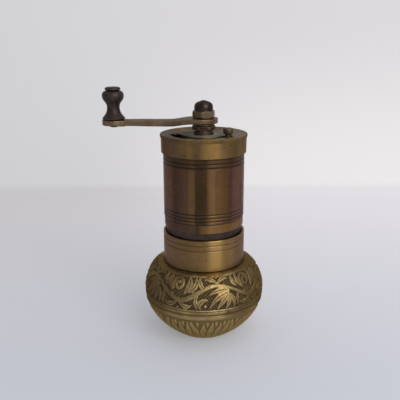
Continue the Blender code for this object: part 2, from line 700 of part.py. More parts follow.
def make_lower_bridge(body):
    shape = bmesh.new()
    points = [shape.verts.new((x, -STRAP_WIDTH / 2, z)) for x, z in strap_outline()]
    face = shape.faces.new(points)
    pushed = bmesh.ops.extrude_face_region(shape, geom=[face])
    corners = [item for item in pushed["geom"] if isinstance(item, bmesh.types.BMVert)]
    bmesh.ops.translate(shape, vec=(0.0, STRAP_WIDTH, 0.0), verts=corners)
    bmesh.ops.recalc_face_normals(shape, faces=shape.faces)
    bridge = add_piece("lower_bridge", shape, OLD_BRONZE, body)
    trim = cylinder_shape(STRAP_REACH, BOSS_BOTTOM - BOSS_HEIGHT, STRAP_TOP + BOSS_HEIGHT, LARGE_SIDES)
    combine(bridge, add_tool("strap_trimmer", trim, body), "INTERSECT")
    boss = cylinder_shape(BOSS_RADIUS, BOSS_BOTTOM, BOSS_TOP, MEDIUM_SIDES)
    combine(bridge, add_tool("strap_boss", boss, body), "UNION")
    bore = cylinder_shape(SCREW_BORE, BOSS_BOTTOM - BOSS_HEIGHT, BOSS_TOP + BOSS_HEIGHT, SMALL_SIDES)
    combine(bridge, add_tool("strap_bore_cutter", bore, body), "DIFFERENCE")
    for side in (-1, 1):
        hole_radius = STRAP_SCREW_RADIUS + SEAT_GAP
        hole = cylinder_shape(hole_radius, BOSS_BOTTOM, STRAP_TOP + BOSS_HEIGHT, TINY_SIDES)
        moved(hole, side * STRAP_SCREW_SEAT_RADIUS, 0.0)
        combine(bridge, add_tool(f"strap_screw_cutter_{side}", hole, body), "DIFFERENCE")


def make_bridge_screws(body):
    head_top = STRAP_TOP - STRAP_THICKNESS - SEAT_GAP
    head_bottom = head_top - STRAP_SCREW_HEAD_THICKNESS
    outline = [
        (0.0, head_bottom),
        (STRAP_SCREW_HEAD_RADIUS - EDGE_CHAMFER, head_bottom),
        (STRAP_SCREW_HEAD_RADIUS, head_bottom + EDGE_CHAMFER),
        (STRAP_SCREW_HEAD_RADIUS, head_top),
        (STRAP_SCREW_RADIUS, head_top),
        (STRAP_SCREW_RADIUS, OUTER_BURR_BOTTOM + STRAP_SCREW_GRIP),
        (0.0, OUTER_BURR_BOTTOM + STRAP_SCREW_GRIP),
    ]
    for side, name in ((-1, "bridge_screw_left"), (1, "bridge_screw_right")):
        screw = moved(turned_shape(outline, TINY_SIDES), side * STRAP_SCREW_SEAT_RADIUS, 0.0)
        add_piece(name, screw, BARE_STEEL, body)


def make_upper_bridge(body):
    ring_bore = SLEEVE_RADIUS - BRIDGE_RING_WIDTH
    outline = [
        (ring_bore, 0.0),
        (SLEEVE_RADIUS, 0.0),
        (SLEEVE_RADIUS, BRIDGE_THICKNESS),
        (ring_bore, BRIDGE_THICKNESS),
    ]
    shape = turned_shape(outline, LARGE_SIDES)
    bridge = add_piece("upper_bridge", shape, OLD_BRONZE, body, BRIDGE_BOTTOM)
    reach = SLEEVE_RADIUS - BRIDGE_RING_WIDTH / 2
    half_width = BRIDGE_ARM_WIDTH / 2
    bar = box_shape((-half_width, -reach, 0.0), (half_width, reach, BRIDGE_THICKNESS))
    combine(bridge, add_tool("bridge_bar", bar, body, BRIDGE_BOTTOM), "UNION")
    hub = cylinder_shape(BRIDGE_HUB_RADIUS, 0.0, BRIDGE_THICKNESS, MEDIUM_SIDES)
    combine(bridge, add_tool("bridge_hub", hub, body, BRIDGE_BOTTOM), "UNION")
    bore_radius = BUSH_RADIUS + SEAT_GAP
    bore = cylinder_shape(bore_radius, -BRIDGE_THICKNESS, 2.0 * BRIDGE_THICKNESS, MEDIUM_SIDES)
    combine(bridge, add_tool("bridge_bore_cutter", bore, body, BRIDGE_BOTTOM), "DIFFERENCE")


def make_bridge_bush(body):
    flange_radius = BUSH_RADIUS + BUSH_FLANGE_WIDTH
    flange_bottom = BRIDGE_TOP + SEAT_GAP
    flange_top = flange_bottom + BUSH_FLANGE_THICKNESS
    outline = [
        (SHAFT_BORE, BRIDGE_BOTTOM + SEAT_GAP),
        (BUSH_RADIUS, BRIDGE_BOTTOM + SEAT_GAP),
        (BUSH_RADIUS, flange_bottom),
        (flange_radius, flange_bottom),
        (flange_radius, flange_top),
        (SHAFT_BORE, flange_top),
    ]
    add_piece("bridge_bush", turned_shape(outline, MEDIUM_SIDES), OLD_BRONZE, body)


def spring_points():
    low = SPRING_BOTTOM + SPRING_WIRE_RADIUS
    high = SPRING_TOP - SPRING_WIRE_RADIUS
    count = SPRING_TURNS * SPRING_POINTS_PER_TURN
    points = []
    for index in range(count + 1):
        angle = 2.0 * math.pi * index / SPRING_POINTS_PER_TURN
        x = SPRING_COIL_RADIUS * math.cos(angle)
        y = SPRING_COIL_RADIUS * math.sin(angle)
        points.append(Vector((x, y, low + (high - low) * index / count)))
    return points


# Least distance between the surfaces of neighbouring turns
def spring_self_gap(points):
    least = SPRING_TOP - SPRING_BOTTOM
    half_turn = SPRING_POINTS_PER_TURN // 2
    for index, point in enumerate(points):
        for other in points[index + half_turn :]:
            least = min(least, (other - point).length - 2.0 * SPRING_WIRE_RADIUS)
    return least


def make_feed_spring(body):
    points = spring_points()
    print(f"feed spring: least gap to itself {spring_self_gap(points) * 1000:.2f} mm")
    curve = bpy.data.curves.new("feed_spring", "CURVE")
    curve.dimensions = "3D"
    curve.bevel_depth = SPRING_WIRE_RADIUS
    curve.bevel_resolution = 1
    curve.use_fill_caps = True
    spline = curve.splines.new("POLY")
    spline.points.add(len(points) - 1)
    for target, point in zip(spline.points, points):
        target.co = (*point, 1.0)
    curve.materials.append(finish_material("feed_spring", BARE_STEEL))
    spring = bpy.data.objects.new("feed_spring", curve)
    spring.parent = body
    bpy.context.collection.objects.link(spring)


# Kidney-shaped slot: two arcs round the spindle, closed by half circles
def slot_outline():
    points = []
    span = SLOT_KNOB_END - SLOT_OPEN_END
    for index in range(SLOT_STEPS + 1):
        angle = SLOT_OPEN_END + span * index / SLOT_STEPS
        points.append((SLOT_OUTER_RADIUS * math.cos(angle), SLOT_OUTER_RADIUS * math.sin(angle)))
    points += slot_end(SLOT_KNOB_END, SLOT_KNOB_END)
    for index in range(SLOT_STEPS + 1):
        angle = SLOT_KNOB_END - span * index / SLOT_STEPS
        points.append((SLOT_INNER_RADIUS * math.cos(angle), SLOT_INNER_RADIUS * math.sin(angle)))
    points += slot_end(SLOT_OPEN_END, SLOT_OPEN_END + math.pi)
    return points


def slot_end(at_angle, start_angle):
    centre_x = SLOT_MIDDLE_RADIUS * math.cos(at_angle)
    centre_y = SLOT_MIDDLE_RADIUS * math.sin(at_angle)
    points = []
    for index in range(1, SLOT_END_STEPS):
        angle = start_angle + math.pi * index / SLOT_END_STEPS
        x = centre_x + SLOT_END_RADIUS * math.cos(angle)
        y = centre_y + SLOT_END_RADIUS * math.sin(angle)
        points.append((x, y))
    return points


def slot_shape(bottom, top):
    shape = bmesh.new()
    face = shape.faces.new([shape.verts.new((x, y, bottom)) for x, y in slot_outline()])
    pushed = bmesh.ops.extrude_face_region(shape, geom=[face])
    corners = [item for item in pushed["geom"] if isinstance(item, bmesh.types.BMVert)]
    bmesh.ops.translate(shape, vec=(0.0, 0.0, top - bottom), verts=corners)
    bmesh.ops.recalc_face_normals(shape, faces=shape.faces)
    return shape


def make_cap(body):
    bore = BARREL_RADIUS + SEAT_GAP
    skirt_low = bore + CAP_SKIRT_WALL
    skirt_high = skirt_low + CAP_SKIRT_SWELL
    rim = skirt_high + CAP_RIM_PROUD
    bottom = CAP_TOP - CAP_DEPTH
    rim_bottom = CAP_TOP - CAP_RIM_HEIGHT
    outline = [
        (bore, bottom),
        (skirt_low, bottom),
        (skirt_high, rim_bottom - CAP_RIM_PROUD),
        (rim, rim_bottom),
        (rim, CAP_TOP - EDGE_CHAMFER),
        (rim - EDGE_CHAMFER, CAP_TOP),
        (CAP_HOLE_RADIUS, CAP_TOP),
        (CAP_HOLE_RADIUS, CAP_UNDERSIDE),
        (bore, CAP_UNDERSIDE),
    ]
    cap = add_piece("cap", turned_shape(outline, LARGE_SIDES), CAP_BRASS, body)
    slot = slot_shape(CAP_UNDERSIDE - CAP_PLATE, CAP_TOP + CAP_PLATE)
    combine(cap, add_tool("slot_cutter", slot, body), "DIFFERENCE")


def make_cap_bush(body):
    tail_radius = CAP_BUSH_RADIUS - CAP_BUSH_STEP
    step_height = SHUTTER_WASHER_TOP + SEAT_GAP
    outline = [
        (SHAFT_BORE, CAP_BUSH_BOTTOM),
        (tail_radius, CAP_BUSH_BOTTOM),
        (tail_radius, step_height),
        (CAP_BUSH_RADIUS, step_height),
        (CAP_BUSH_RADIUS, CAP_BOSS_BOTTOM),
        (CAP_BOSS_RADIUS, CAP_BOSS_BOTTOM),
        (CAP_BOSS_RADIUS, CAP_BOSS_TOP - EDGE_CHAMFER),
        (CAP_BOSS_RADIUS - EDGE_CHAMFER, CAP_BOSS_TOP),
        (SHAFT_BORE, CAP_BOSS_TOP),
    ]
    add_piece("cap_bush", turned_shape(outline, MEDIUM_SIDES), OLD_BRONZE, body)


def make_shutter_washer(body):
    hole_radius = CAP_BUSH_RADIUS - CAP_BUSH_STEP + SEAT_GAP
    outline = [
        (hole_radius, 0.0),
        (SHUTTER_WASHER_RADIUS, 0.0),
        (SHUTTER_WASHER_RADIUS, SHUTTER_WASHER_THICKNESS),
        (hole_radius, SHUTTER_WASHER_THICKNESS),
    ]
    shape = turned_shape(outline, MEDIUM_SIDES)
    add_piece("shutter_washer", shape, OLD_BRONZE, body, SHUTTER_WASHER_BOTTOM)


def make_shutter_disc(body):
    outline = [
        (CAP_HOLE_RADIUS, 0.0),
        (SHUTTER_RADIUS, 0.0),
        (SHUTTER_RADIUS, SHUTTER_THICKNESS),
        (CAP_HOLE_RADIUS, SHUTTER_THICKNESS),
    ]
    shape = turned_shape(outline, LARGE_SIDES)
    disc = add_piece("shutter_disc", shape, CAP_BRASS, body, SHUTTER_BOTTOM)
    low = (SHUTTER_CUT_FROM_AXIS, -SHUTTER_RADIUS, -SHUTTER_THICKNESS)
    high = (2.0 * SHUTTER_RADIUS, SHUTTER_RADIUS, 2.0 * SHUTTER_THICKNESS)
    cut = add_tool("shutter_cutter", box_shape(low, high), body, SHUTTER_BOTTOM)
    cut.rotation_euler = (0.0, 0.0, SHUTTER_CUT_TOWARDS)
    combine(disc, cut, "DIFFERENCE")
    hole_radius = SHUTTER_TAIL_RADIUS + SEAT_GAP
    hole = cylinder_shape(hole_radius, -SHUTTER_THICKNESS, 2.0 * SHUTTER_THICKNESS, TINY_SIDES)
    moved(hole, *stem_place())
    combine(disc, add_tool("stem_hole_cutter", hole, body, SHUTTER_BOTTOM), "DIFFERENCE")


def stem_place():
    x = SLOT_MIDDLE_RADIUS * math.cos(STEM_ANGLE)
    y = SLOT_MIDDLE_RADIUS * math.sin(STEM_ANGLE)
    return x, y


def make_shutter_knob(body):
    head_bottom = CAP_TOP + SHUTTER_HEAD_BOTTOM_ABOVE_CAP
    head_top = head_bottom + SHUTTER_HEAD_HEIGHT
    outline = [
        (0.0, SHUTTER_BOTTOM),
        (SHUTTER_TAIL_RADIUS, SHUTTER_BOTTOM),
        (SHUTTER_TAIL_RADIUS, SHUTTER_TOP + SEAT_GAP),
        (SHUTTER_STEM_RADIUS, SHUTTER_TOP + SEAT_GAP),
        (SHUTTER_STEM_RADIUS, head_bottom),
        (SHUTTER_HEAD_NECK, head_bottom),
        (SHUTTER_HEAD_RADIUS, head_bottom + SHUTTER_HEAD_FLARE),
        (SHUTTER_HEAD_RADIUS, head_top - EDGE_CHAMFER),
        (SHUTTER_HEAD_RADIUS - EDGE_CHAMFER, head_top),
        (0.0, head_top),
    ]
    shape = moved(turned_shape(outline, TINY_SIDES), *stem_place())
    add_piece("shutter_knob", shape, OLD_BRONZE, body)


# The spindle: tip, flange, burr square, round middle, arm square and round top
def make_shaft(body):
    square_top = INNER_BURR_TOP - SQUARE_SHORT_OF_BURR
    sections = [
        (SHAFT_BOTTOM, SHAFT_TIP_RADIUS - EDGE_CHAMFER, SHAFT_RADIUS),
        (SHAFT_BOTTOM + EDGE_CHAMFER, SHAFT_TIP_RADIUS, SHAFT_RADIUS),
        (SHAFT_FLANGE_BOTTOM, SHAFT_TIP_RADIUS, SHAFT_RADIUS),
        (SHAFT_FLANGE_BOTTOM, SHAFT_FLANGE_RADIUS, SHAFT_FLANGE_RADIUS),
        (SHAFT_FLANGE_TOP, SHAFT_FLANGE_RADIUS, SHAFT_FLANGE_RADIUS),
        (SHAFT_FLANGE_TOP, SHAFT_BURR_CORNER, SHAFT_BURR_FLAT),
        (square_top, SHAFT_BURR_CORNER, SHAFT_BURR_FLAT),
        (square_top, SHAFT_RADIUS, SHAFT_RADIUS),
        (ARM_BOTTOM - SEAT_GAP, SHAFT_RADIUS, SHAFT_RADIUS),
        (ARM_BOTTOM - SEAT_GAP, SHAFT_RADIUS, SHAFT_ARM_FLAT),
        (ARM_TOP + SEAT_GAP, SHAFT_RADIUS, SHAFT_ARM_FLAT),
        (ARM_TOP + SEAT_GAP, SHAFT_RADIUS, SHAFT_RADIUS),
        (SHAFT_TOP - EDGE_CHAMFER, SHAFT_RADIUS, SHAFT_RADIUS),
        (SHAFT_TOP, SHAFT_RADIUS - EDGE_CHAMFER, SHAFT_RADIUS),
    ]
    rings = [flatted_ring(z, radius, flat, 4, FLATTED_SIDES) for z, radius, flat in sections]
    add_piece("shaft", ringed_shape(rings, False), BARE_STEEL, body)


# Outer rings of a chamfered hexagon between two heights
def hex_rings(bottom, top):
    corner = HEX_HALF_FLAT / math.cos(math.pi / 6)
    inside = HEX_HALF_FLAT - HEX_FACE_INSET
    limits = [
        (bottom, inside),
        (bottom + HEX_CHAMFER, corner),
        (top - HEX_CHAMFER, corner),
        (top, inside),
    ]
    return [flatted_ring(z, radius, HEX_HALF_FLAT, 6, FLATTED_SIDES) for z, radius in limits]


def make_lock_nut(body):
    rings = hex_rings(0.0, LOCK_NUT_HEIGHT)
    rings += [round_ring(LOCK_NUT_HEIGHT, SHAFT_BORE, FLATTED_SIDES)]
    rings += [round_ring(0.0, SHAFT_BORE, FLATTED_SIDES)]
    nut = add_piece("lock_nut", ringed_shape(rings, True), OLD_BRONZE, body, LOCK_NUT_BOTTOM)
    nut.rotation_euler = (0.0, 0.0, LOCK_NUT_TURN)


def make_arm_washer(body):
    outline = [
        (SHAFT_BORE, 0.0),
        (ARM_WASHER_RADIUS, 0.0),
        (ARM_WASHER_RADIUS, ARM_WASHER_THICKNESS),
        (SHAFT_BORE, ARM_WASHER_THICKNESS),
    ]
    shape = turned_shape(outline, MEDIUM_SIDES)
    add_piece("arm_washer", shape, OLD_BRONZE, body, ARM_WASHER_BOTTOM)


# Quarter ellipse, squared off at its shoulder, from the dome's side up to the small raised point
def dome_rings():
    side_top = ACORN_HEX_HEIGHT + ACORN_DOME_SIDE
    dome_top = ACORN_HEIGHT - ACORN_TIP_RISE
    rings = [round_ring(ACORN_HEX_HEIGHT, ACORN_DOME_RADIUS, FLATTED_SIDES)]
    for index in range(ACORN_DOME_STEPS):
        angle = math.pi / 2 * index / ACORN_DOME_STEPS
        radius = ACORN_DOME_RADIUS * math.cos(angle) ** ACORN_DOME_FULLNESS
        height = side_top + (dome_top - side_top) * math.sin(angle) ** ACORN_DOME_FULLNESS
        rings.append(round_ring(height, radius, FLATTED_SIDES))
    rings.append(round_ring(ACORN_HEIGHT, ACORN_TIP_RADIUS, FLATTED_SIDES))
    return rings


def make_acorn_nut(body):
    rings = [round_ring(ACORN_BORE_DEPTH, SHAFT_BORE, FLATTED_SIDES)]
    rings += [round_ring(0.0, SHAFT_BORE, FLATTED_SIDES)]
    rings += hex_rings(0.0, ACORN_HEX_HEIGHT)
    rings += dome_rings()
    nut = add_piece("acorn_nut", ringed_shape(rings, False), BLACK_METAL, body, ACORN_BOTTOM)
    nut.rotation_euler = (0.0, 0.0, ACORN_TURN)


# Smooth step from 0 to 1
def eased(share):
    share = min(1.0, max(0.0, share))
    return share * share * (3.0 - 2.0 * share)


# Height of the arm's underside at a distance out from the spindle
def arm_height(out):
    drop = ARM_JOGGLE_DROP * eased((out - ARM_JOGGLE_START) / ARM_JOGGLE_LENGTH)
    straight_start = ARM_JOGGLE_START + ARM_JOGGLE_LENGTH
    straight_end = CRANK_REACH - ARM_EYE_RADIUS
    rise = ARM_RISE_TO_EYE * eased((out - straight_start) / (straight_end - straight_start))
    return ARM_BOTTOM - drop + rise


# Half the arm's width: the hub's circle, a tapering bar and the eye's circle, whichever is widest
def arm_half_width(out):
    share = min(1.0, max(0.0, out / CRANK_REACH))
    bar = ARM_HALF_WIDTH_AT_HUB + (ARM_HALF_WIDTH_AT_EYE - ARM_HALF_WIDTH_AT_HUB) * share
    hub = math.sqrt(max(0.0, ARM_HUB_RADIUS**2 - out**2))
    eye = math.sqrt(max(0.0, ARM_EYE_RADIUS**2 - (out - CRANK_REACH) ** 2))
    if 0.0 < out < CRANK_REACH:
        return max(bar, hub, eye)
    return max(hub, eye)


# Distances along the arm of its cross-sections, close together on the round ends and the joggle
def arm_stations():
    stations = []
    for centre, radius in ((0.0, ARM_HUB_RADIUS), (CRANK_REACH, ARM_EYE_RADIUS)):
        for index in range(ARM_ROUND_STEPS):
            angle = math.pi * (index + 0.5) / ARM_ROUND_STEPS
            stations.append(centre + radius * math.cos(angle))
    for index in range(1, ARM_JOGGLE_STEPS + 1):
        stations.append(ARM_JOGGLE_START + ARM_JOGGLE_LENGTH * index / ARM_JOGGLE_STEPS)
    joggle_end = ARM_JOGGLE_START + ARM_JOGGLE_LENGTH
    straight = CRANK_REACH - ARM_EYE_RADIUS - joggle_end
    for index in range(1, ARM_STRAIGHT_STEPS + 1):
        stations.append(joggle_end + straight * index / ARM_STRAIGHT_STEPS)
    spaced = []
    for station in sorted(stations):
        if not spaced or station - spaced[-1] > SMALLEST:
            spaced.append(station)
    return spaced


def arm_section(out):
    width = arm_half_width(out)
    low = arm_height(out)
    high = low + ARM_THICKNESS
    inner = width - ARM_EDGE
    corners = [(width, low + ARM_EDGE), (width, high - ARM_EDGE), (inner, high), (-inner, high)]
    corners += [(-width, high - ARM_EDGE), (-width, low + ARM_EDGE), (-inner, low), (inner, low)]
    return [(-out, y, z) for y, z in corners]


def make_crank_arm(body):
    rings = [arm_section(out) for out in arm_stations()]
    arm = add_piece("crank_arm", ringed_shape(rings, False), OLD_BRONZE, body)
    half_hole = SHAFT_ARM_FLAT + SEAT_GAP
    low = (-half_hole, -half_hole, ARM_BOTTOM - ARM_THICKNESS)
    high = (half_hole, half_hole, ARM_TOP + ARM_THICKNESS)
    combine(arm, add_tool("arm_square_cutter", box_shape(low, high), body), "DIFFERENCE")
    hole = cylinder_shape(PIN_BORE, EYE_BOTTOM - ARM_THICKNESS, EYE_TOP + ARM_THICKNESS, SMALL_SIDES)
    moved(hole, -CRANK_REACH, 0.0)
    combine(arm, add_tool("arm_eye_cutter", hole, body), "DIFFERENCE")


def make_knob_pin(pivot):
    low_head_top = EYE_BOTTOM - SEAT_GAP
    low_head_bottom = low_head_top - PIN_LOW_HEAD_HEIGHT
    top_head_bottom = KNOB_TOP + SEAT_GAP
    top_head_top = top_head_bottom + PIN_TOP_HEAD_HEIGHT
    outline = [
        (0.0, low_head_bottom),
        (PIN_LOW_HEAD_RADIUS - EDGE_CHAMFER, low_head_bottom),
        (PIN_LOW_HEAD_RADIUS, low_head_bottom + EDGE_CHAMFER),
        (PIN_LOW_HEAD_RADIUS, low_head_top),
        (PIN_RADIUS, low_head_top),
        (PIN_RADIUS, top_head_bottom),
        (PIN_TOP_HEAD_RADIUS - PIN_TOP_HEAD_UNDERCUT, top_head_bottom),
        (PIN_TOP_HEAD_RADIUS, top_head_bottom + PIN_TOP_HEAD_FLARE),
        (PIN_TOP_HEAD_RADIUS, top_head_bottom + PIN_TOP_HEAD_FLARE + PIN_TOP_HEAD_SIDE),
        (PIN_TOP_HEAD_RADIUS - PIN_TOP_HEAD_SHOULDER, top_head_top - PIN_TOP_HEAD_CROWN),
        (0.0, top_head_top),
    ]
    add_piece("knob_pin", turned_shape(outline, SMALL_SIDES), BLACK_METAL, pivot)


# Spool: flared base, waist, bulge and a narrow top, with a bore for the pin
def make_knob(pivot):
    base_top = (KNOB_BASE_RADIUS, KNOB_BASE_BAND)
    waist = (KNOB_WAIST_RADIUS, KNOB_WAIST_HEIGHT)
    bulge = (KNOB_BULGE_RADIUS, KNOB_BULGE_HEIGHT)
    top = (KNOB_TOP_RADIUS, KNOB_HEIGHT)
    lower_pull = (KNOB_WAIST_HEIGHT - KNOB_BASE_BAND) / 2
    middle_pull = (KNOB_BULGE_HEIGHT - KNOB_WAIST_HEIGHT) / 2
    upper_pull = (KNOB_HEIGHT - KNOB_BULGE_HEIGHT) * KNOB_SHOULDER_FULLNESS
    flare_handle = ((KNOB_BASE_RADIUS + KNOB_WAIST_RADIUS) / 2, KNOB_BASE_BAND + lower_pull / 2)
    outline = [(PIN_BORE, 0.0), (KNOB_BASE_RADIUS - EDGE_CHAMFER, 0.0)]
    outline += curve_points(
        base_top,
        flare_handle,
        (KNOB_WAIST_RADIUS, KNOB_WAIST_HEIGHT - lower_pull),
        waist,
        KNOB_CURVE_POINTS,
    )
    outline += curve_points(
        waist,
        (KNOB_WAIST_RADIUS, KNOB_WAIST_HEIGHT + middle_pull),
        (KNOB_BULGE_RADIUS, KNOB_BULGE_HEIGHT - middle_pull),
        bulge,
        KNOB_CURVE_POINTS,
    )[1:]
    outline += curve_points(
        bulge,
        (KNOB_BULGE_RADIUS, KNOB_BULGE_HEIGHT + upper_pull),
        (KNOB_TOP_RADIUS, KNOB_HEIGHT),
        top,
        KNOB_CURVE_POINTS,
    )[1:]
    outline += [(PIN_BORE, KNOB_HEIGHT)]
    add_piece("knob", turned_shape(outline, SMALL_SIDES), BLACK_METAL, pivot, KNOB_BOTTOM)


def make_thrust_ball(body):
    shape = bmesh.new()
    bmesh.ops.create_icosphere(shape, subdivisions=2, radius=BALL_RADIUS)
    add_piece("thrust_ball", shape, BARE_STEEL, body, BALL_CENTRE)


def star_ring(height, radius, depth, teeth):
    ring = []
    for index in range(2 * teeth):
        angle = math.pi * index / teeth
        reach = radius - depth * (index % 2)
        ring.append((reach * math.cos(angle), reach * math.sin(angle), height))
    return ring


# Adjusting screw: knurled head below, plain shank up to the cup that holds the ball
def make_adjusting_screw(body):
    sides = 2 * SCREW_HEAD_TEETH
    rim_radius = SCREW_HEAD_RADIUS - SCREW_HEAD_CHAMFER
    head = [
        round_ring(SCREW_HEAD_BOTTOM, rim_radius, sides),
        star_ring(
            SCREW_HEAD_BOTTOM + SCREW_HEAD_CHAMFER,
            SCREW_HEAD_RADIUS,
            SCREW_HEAD_TOOTH_DEPTH,
            SCREW_HEAD_TEETH,
        ),
        star_ring(
            SCREW_HEAD_TOP - SCREW_HEAD_CHAMFER,
            SCREW_HEAD_RADIUS,
            SCREW_HEAD_TOOTH_DEPTH,
            SCREW_HEAD_TEETH,
        ),
        round_ring(SCREW_HEAD_TOP, rim_radius, sides),
    ]
    shank = [
        round_ring(SCREW_HEAD_TOP, SCREW_RADIUS, sides),
        round_ring(SCREW_TOP - EDGE_CHAMFER, SCREW_RADIUS, sides),
        round_ring(SCREW_TOP, SCREW_RADIUS - EDGE_CHAMFER, sides),
        round_ring(SCREW_TOP, SCREW_RADIUS - EDGE_CHAMFER - SCREW_RIM_WIDTH, sides),
        round_ring(SCREW_TOP - SCREW_CUP_DEPTH, SCREW_CUP_FLOOR_RADIUS, sides),
    ]
    shape = ringed_shape(head + shank, False)
    add_piece("adjusting_screw", shape, OLD_BRONZE, body)


def build_grinder():
    clear_objects()
    cup = body_frame("cup_body")
    mill = body_frame("mill_body")
    thrust = body_frame("thrust_body")
    crank = body_frame("crank_body")
    adjuster = body_frame("adjuster_body")
    shutter = body_frame("shutter_body")
    knob_pivot = body_frame("knob_pivot", (-CRANK_REACH, 0.0, 0.0), crank)
    make_cup_bulb(cup)
    make_cup_base(cup)
    make_cup_neck(cup)
    make_barrel(mill)
    make_spigot_sleeve(mill)
    make_outer_burr(mill)
    make_lower_bridge(mill)
    make_bridge_screws(mill)
    make_upper_bridge(mill)
    make_bridge_bush(mill)
    make_feed_spring(mill)
    make_cap(mill)
    make_cap_bush(mill)
    make_shutter_washer(mill)
    make_shutter_disc(shutter)
    make_shutter_knob(shutter)
    make_thrust_ball(thrust)
    make_adjusting_screw(adjuster)
    make_shaft(crank)
    make_inner_burr(crank)
    make_lock_nut(crank)
    make_arm_washer(crank)
    make_crank_arm(crank)
    make_acorn_nut(crank)
    make_knob_pin(knob_pivot)
    make_knob(knob_pivot)


build_grinder()
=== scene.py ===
# A brass hand grinder: fine turned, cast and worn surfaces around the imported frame.
import math

import bmesh
import bpy
import numpy as np
from mathutils import Matrix, Vector


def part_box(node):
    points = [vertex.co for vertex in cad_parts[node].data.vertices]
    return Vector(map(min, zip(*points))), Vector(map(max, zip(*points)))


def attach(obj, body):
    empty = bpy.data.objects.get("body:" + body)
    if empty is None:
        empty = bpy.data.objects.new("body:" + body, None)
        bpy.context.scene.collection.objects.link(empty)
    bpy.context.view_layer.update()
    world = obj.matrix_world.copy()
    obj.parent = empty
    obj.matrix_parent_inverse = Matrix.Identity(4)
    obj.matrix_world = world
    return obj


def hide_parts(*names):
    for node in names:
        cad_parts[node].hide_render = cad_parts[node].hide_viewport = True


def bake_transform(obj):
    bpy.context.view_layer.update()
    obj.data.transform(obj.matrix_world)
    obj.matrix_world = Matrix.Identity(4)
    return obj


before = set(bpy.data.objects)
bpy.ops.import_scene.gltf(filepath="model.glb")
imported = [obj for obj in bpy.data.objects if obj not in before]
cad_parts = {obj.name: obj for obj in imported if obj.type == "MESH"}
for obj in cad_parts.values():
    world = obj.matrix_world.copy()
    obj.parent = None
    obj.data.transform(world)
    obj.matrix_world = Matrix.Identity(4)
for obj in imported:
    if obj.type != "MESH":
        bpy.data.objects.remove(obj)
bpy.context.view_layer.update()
print("frame loaded:", len(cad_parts), "nodes")


# Node trees

# A wire is one output of a node. Its +, - and * add Math nodes to the same tree.
class Wire:
    def __init__(self, tree, socket):
        self.tree = tree
        self.socket = socket

    def __add__(self, other):
        return maths("ADD", self, other)

    def __sub__(self, other):
        return maths("SUBTRACT", self, other)

    def __rsub__(self, other):
        return maths("SUBTRACT", other, self)

    def __mul__(self, other):
        return maths("MULTIPLY", self, other)


# A wire is linked to a node's input, and a plain value is set on it
def plug(socket, value):
    if isinstance(value, Wire):
        value.tree.links.new(value.socket, socket)
    else:
        socket.default_value = (*value, 1.0) if socket.type == "RGBA" else value


# A new node with its settings and inputs; gives the wire of the output that is asked for
def addNode(tree, kind, output, links=None, **settings):
    node = tree.nodes.new("ShaderNode" + kind)
    for name, value in settings.items():
        setattr(node, name, value)
    for name, value in (links or {}).items():
        plug(node.inputs[name], value)
    return Wire(tree, node.outputs[output])


def treeOf(*values):
    return next(value.tree for value in values if isinstance(value, Wire))


def maths(operation, *values):
    return addNode(treeOf(*values), "Math", 0, dict(enumerate(values)), operation=operation)


# The same wire, kept between 0 and 1 by its Math node
def held(value):
    value.socket.node.use_clamp = True
    return value


# Eased from one range of values to another
def stretch(value, low, high, newLow=0.0, newHigh=1.0):
    links = {"Value": value, "From Min": low, "From Max": high, "To Min": newLow, "To Max": newHigh}
    return addNode(value.tree, "MapRange", "Result", links, interpolation_type="SMOOTHSTEP")


def mixColours(share, first, second, blend="MIX"):
    links = {0: share, 6: first, 7: second}
    settings = dict(data_type="RGBA", blend_type=blend, clamp_factor=True)
    return addNode(treeOf(share, first, second), "Mix", 2, links, **settings)


def noise(place, scale, detail=4.0, roughness=0.55, distortion=0.0):
    links = {"Vector": place, "Scale": scale, "Detail": detail}
    links |= {"Roughness": roughness, "Distortion": distortion}
    return addNode(place.tree, "TexNoise", "Fac", links)


# One coordinate of a place
def axis(place, letter):
    return addNode(place.tree, "SeparateXYZ", letter, {0: place})


# The place with its height taken out
def flattened(place):
    return addNode(place.tree, "VectorMath", 0, {0: place, 1: (1.0, 1.0, 0.0)}, operation="MULTIPLY")


def attribute(place, label):
    return addNode(place.tree, "Attribute", "Fac", attribute_name=label)


# The colour made darker or lighter by a value round one
def shaded(colour, value):
    grey = addNode(value.tree, "CombineColor", 0, {"Red": value, "Green": value, "Blue": value})
    return mixColours(1.0, colour, grey, "MULTIPLY")


# A node group whose inputs are a place and named values; gives the group and its inputs' wires
def newGroup(name, inputs):
    group = bpy.data.node_groups.new(name, "ShaderNodeTree")
    group.interface.new_socket("Place", in_out="INPUT", socket_type="NodeSocketVector")
    for label, value in inputs.items():
        kind = "Color" if isinstance(value, tuple) else "Float"
        socket = group.interface.new_socket(label, in_out="INPUT", socket_type="NodeSocket" + kind)
        socket.default_value = (*value, 1.0) if kind == "Color" else value
    given = group.nodes.new("NodeGroupInput").outputs
    return group, [Wire(group, given[index]) for index in range(len(inputs) + 1)]


# The group's one output
def closeGroup(group, label, result):
    kind = "Color" if label == "Color" else "Float"
    group.interface.new_socket(label, in_out="OUTPUT", socket_type="NodeSocket" + kind)
    plug(group.nodes.new("NodeGroupOutput").inputs[0], result)
    return group


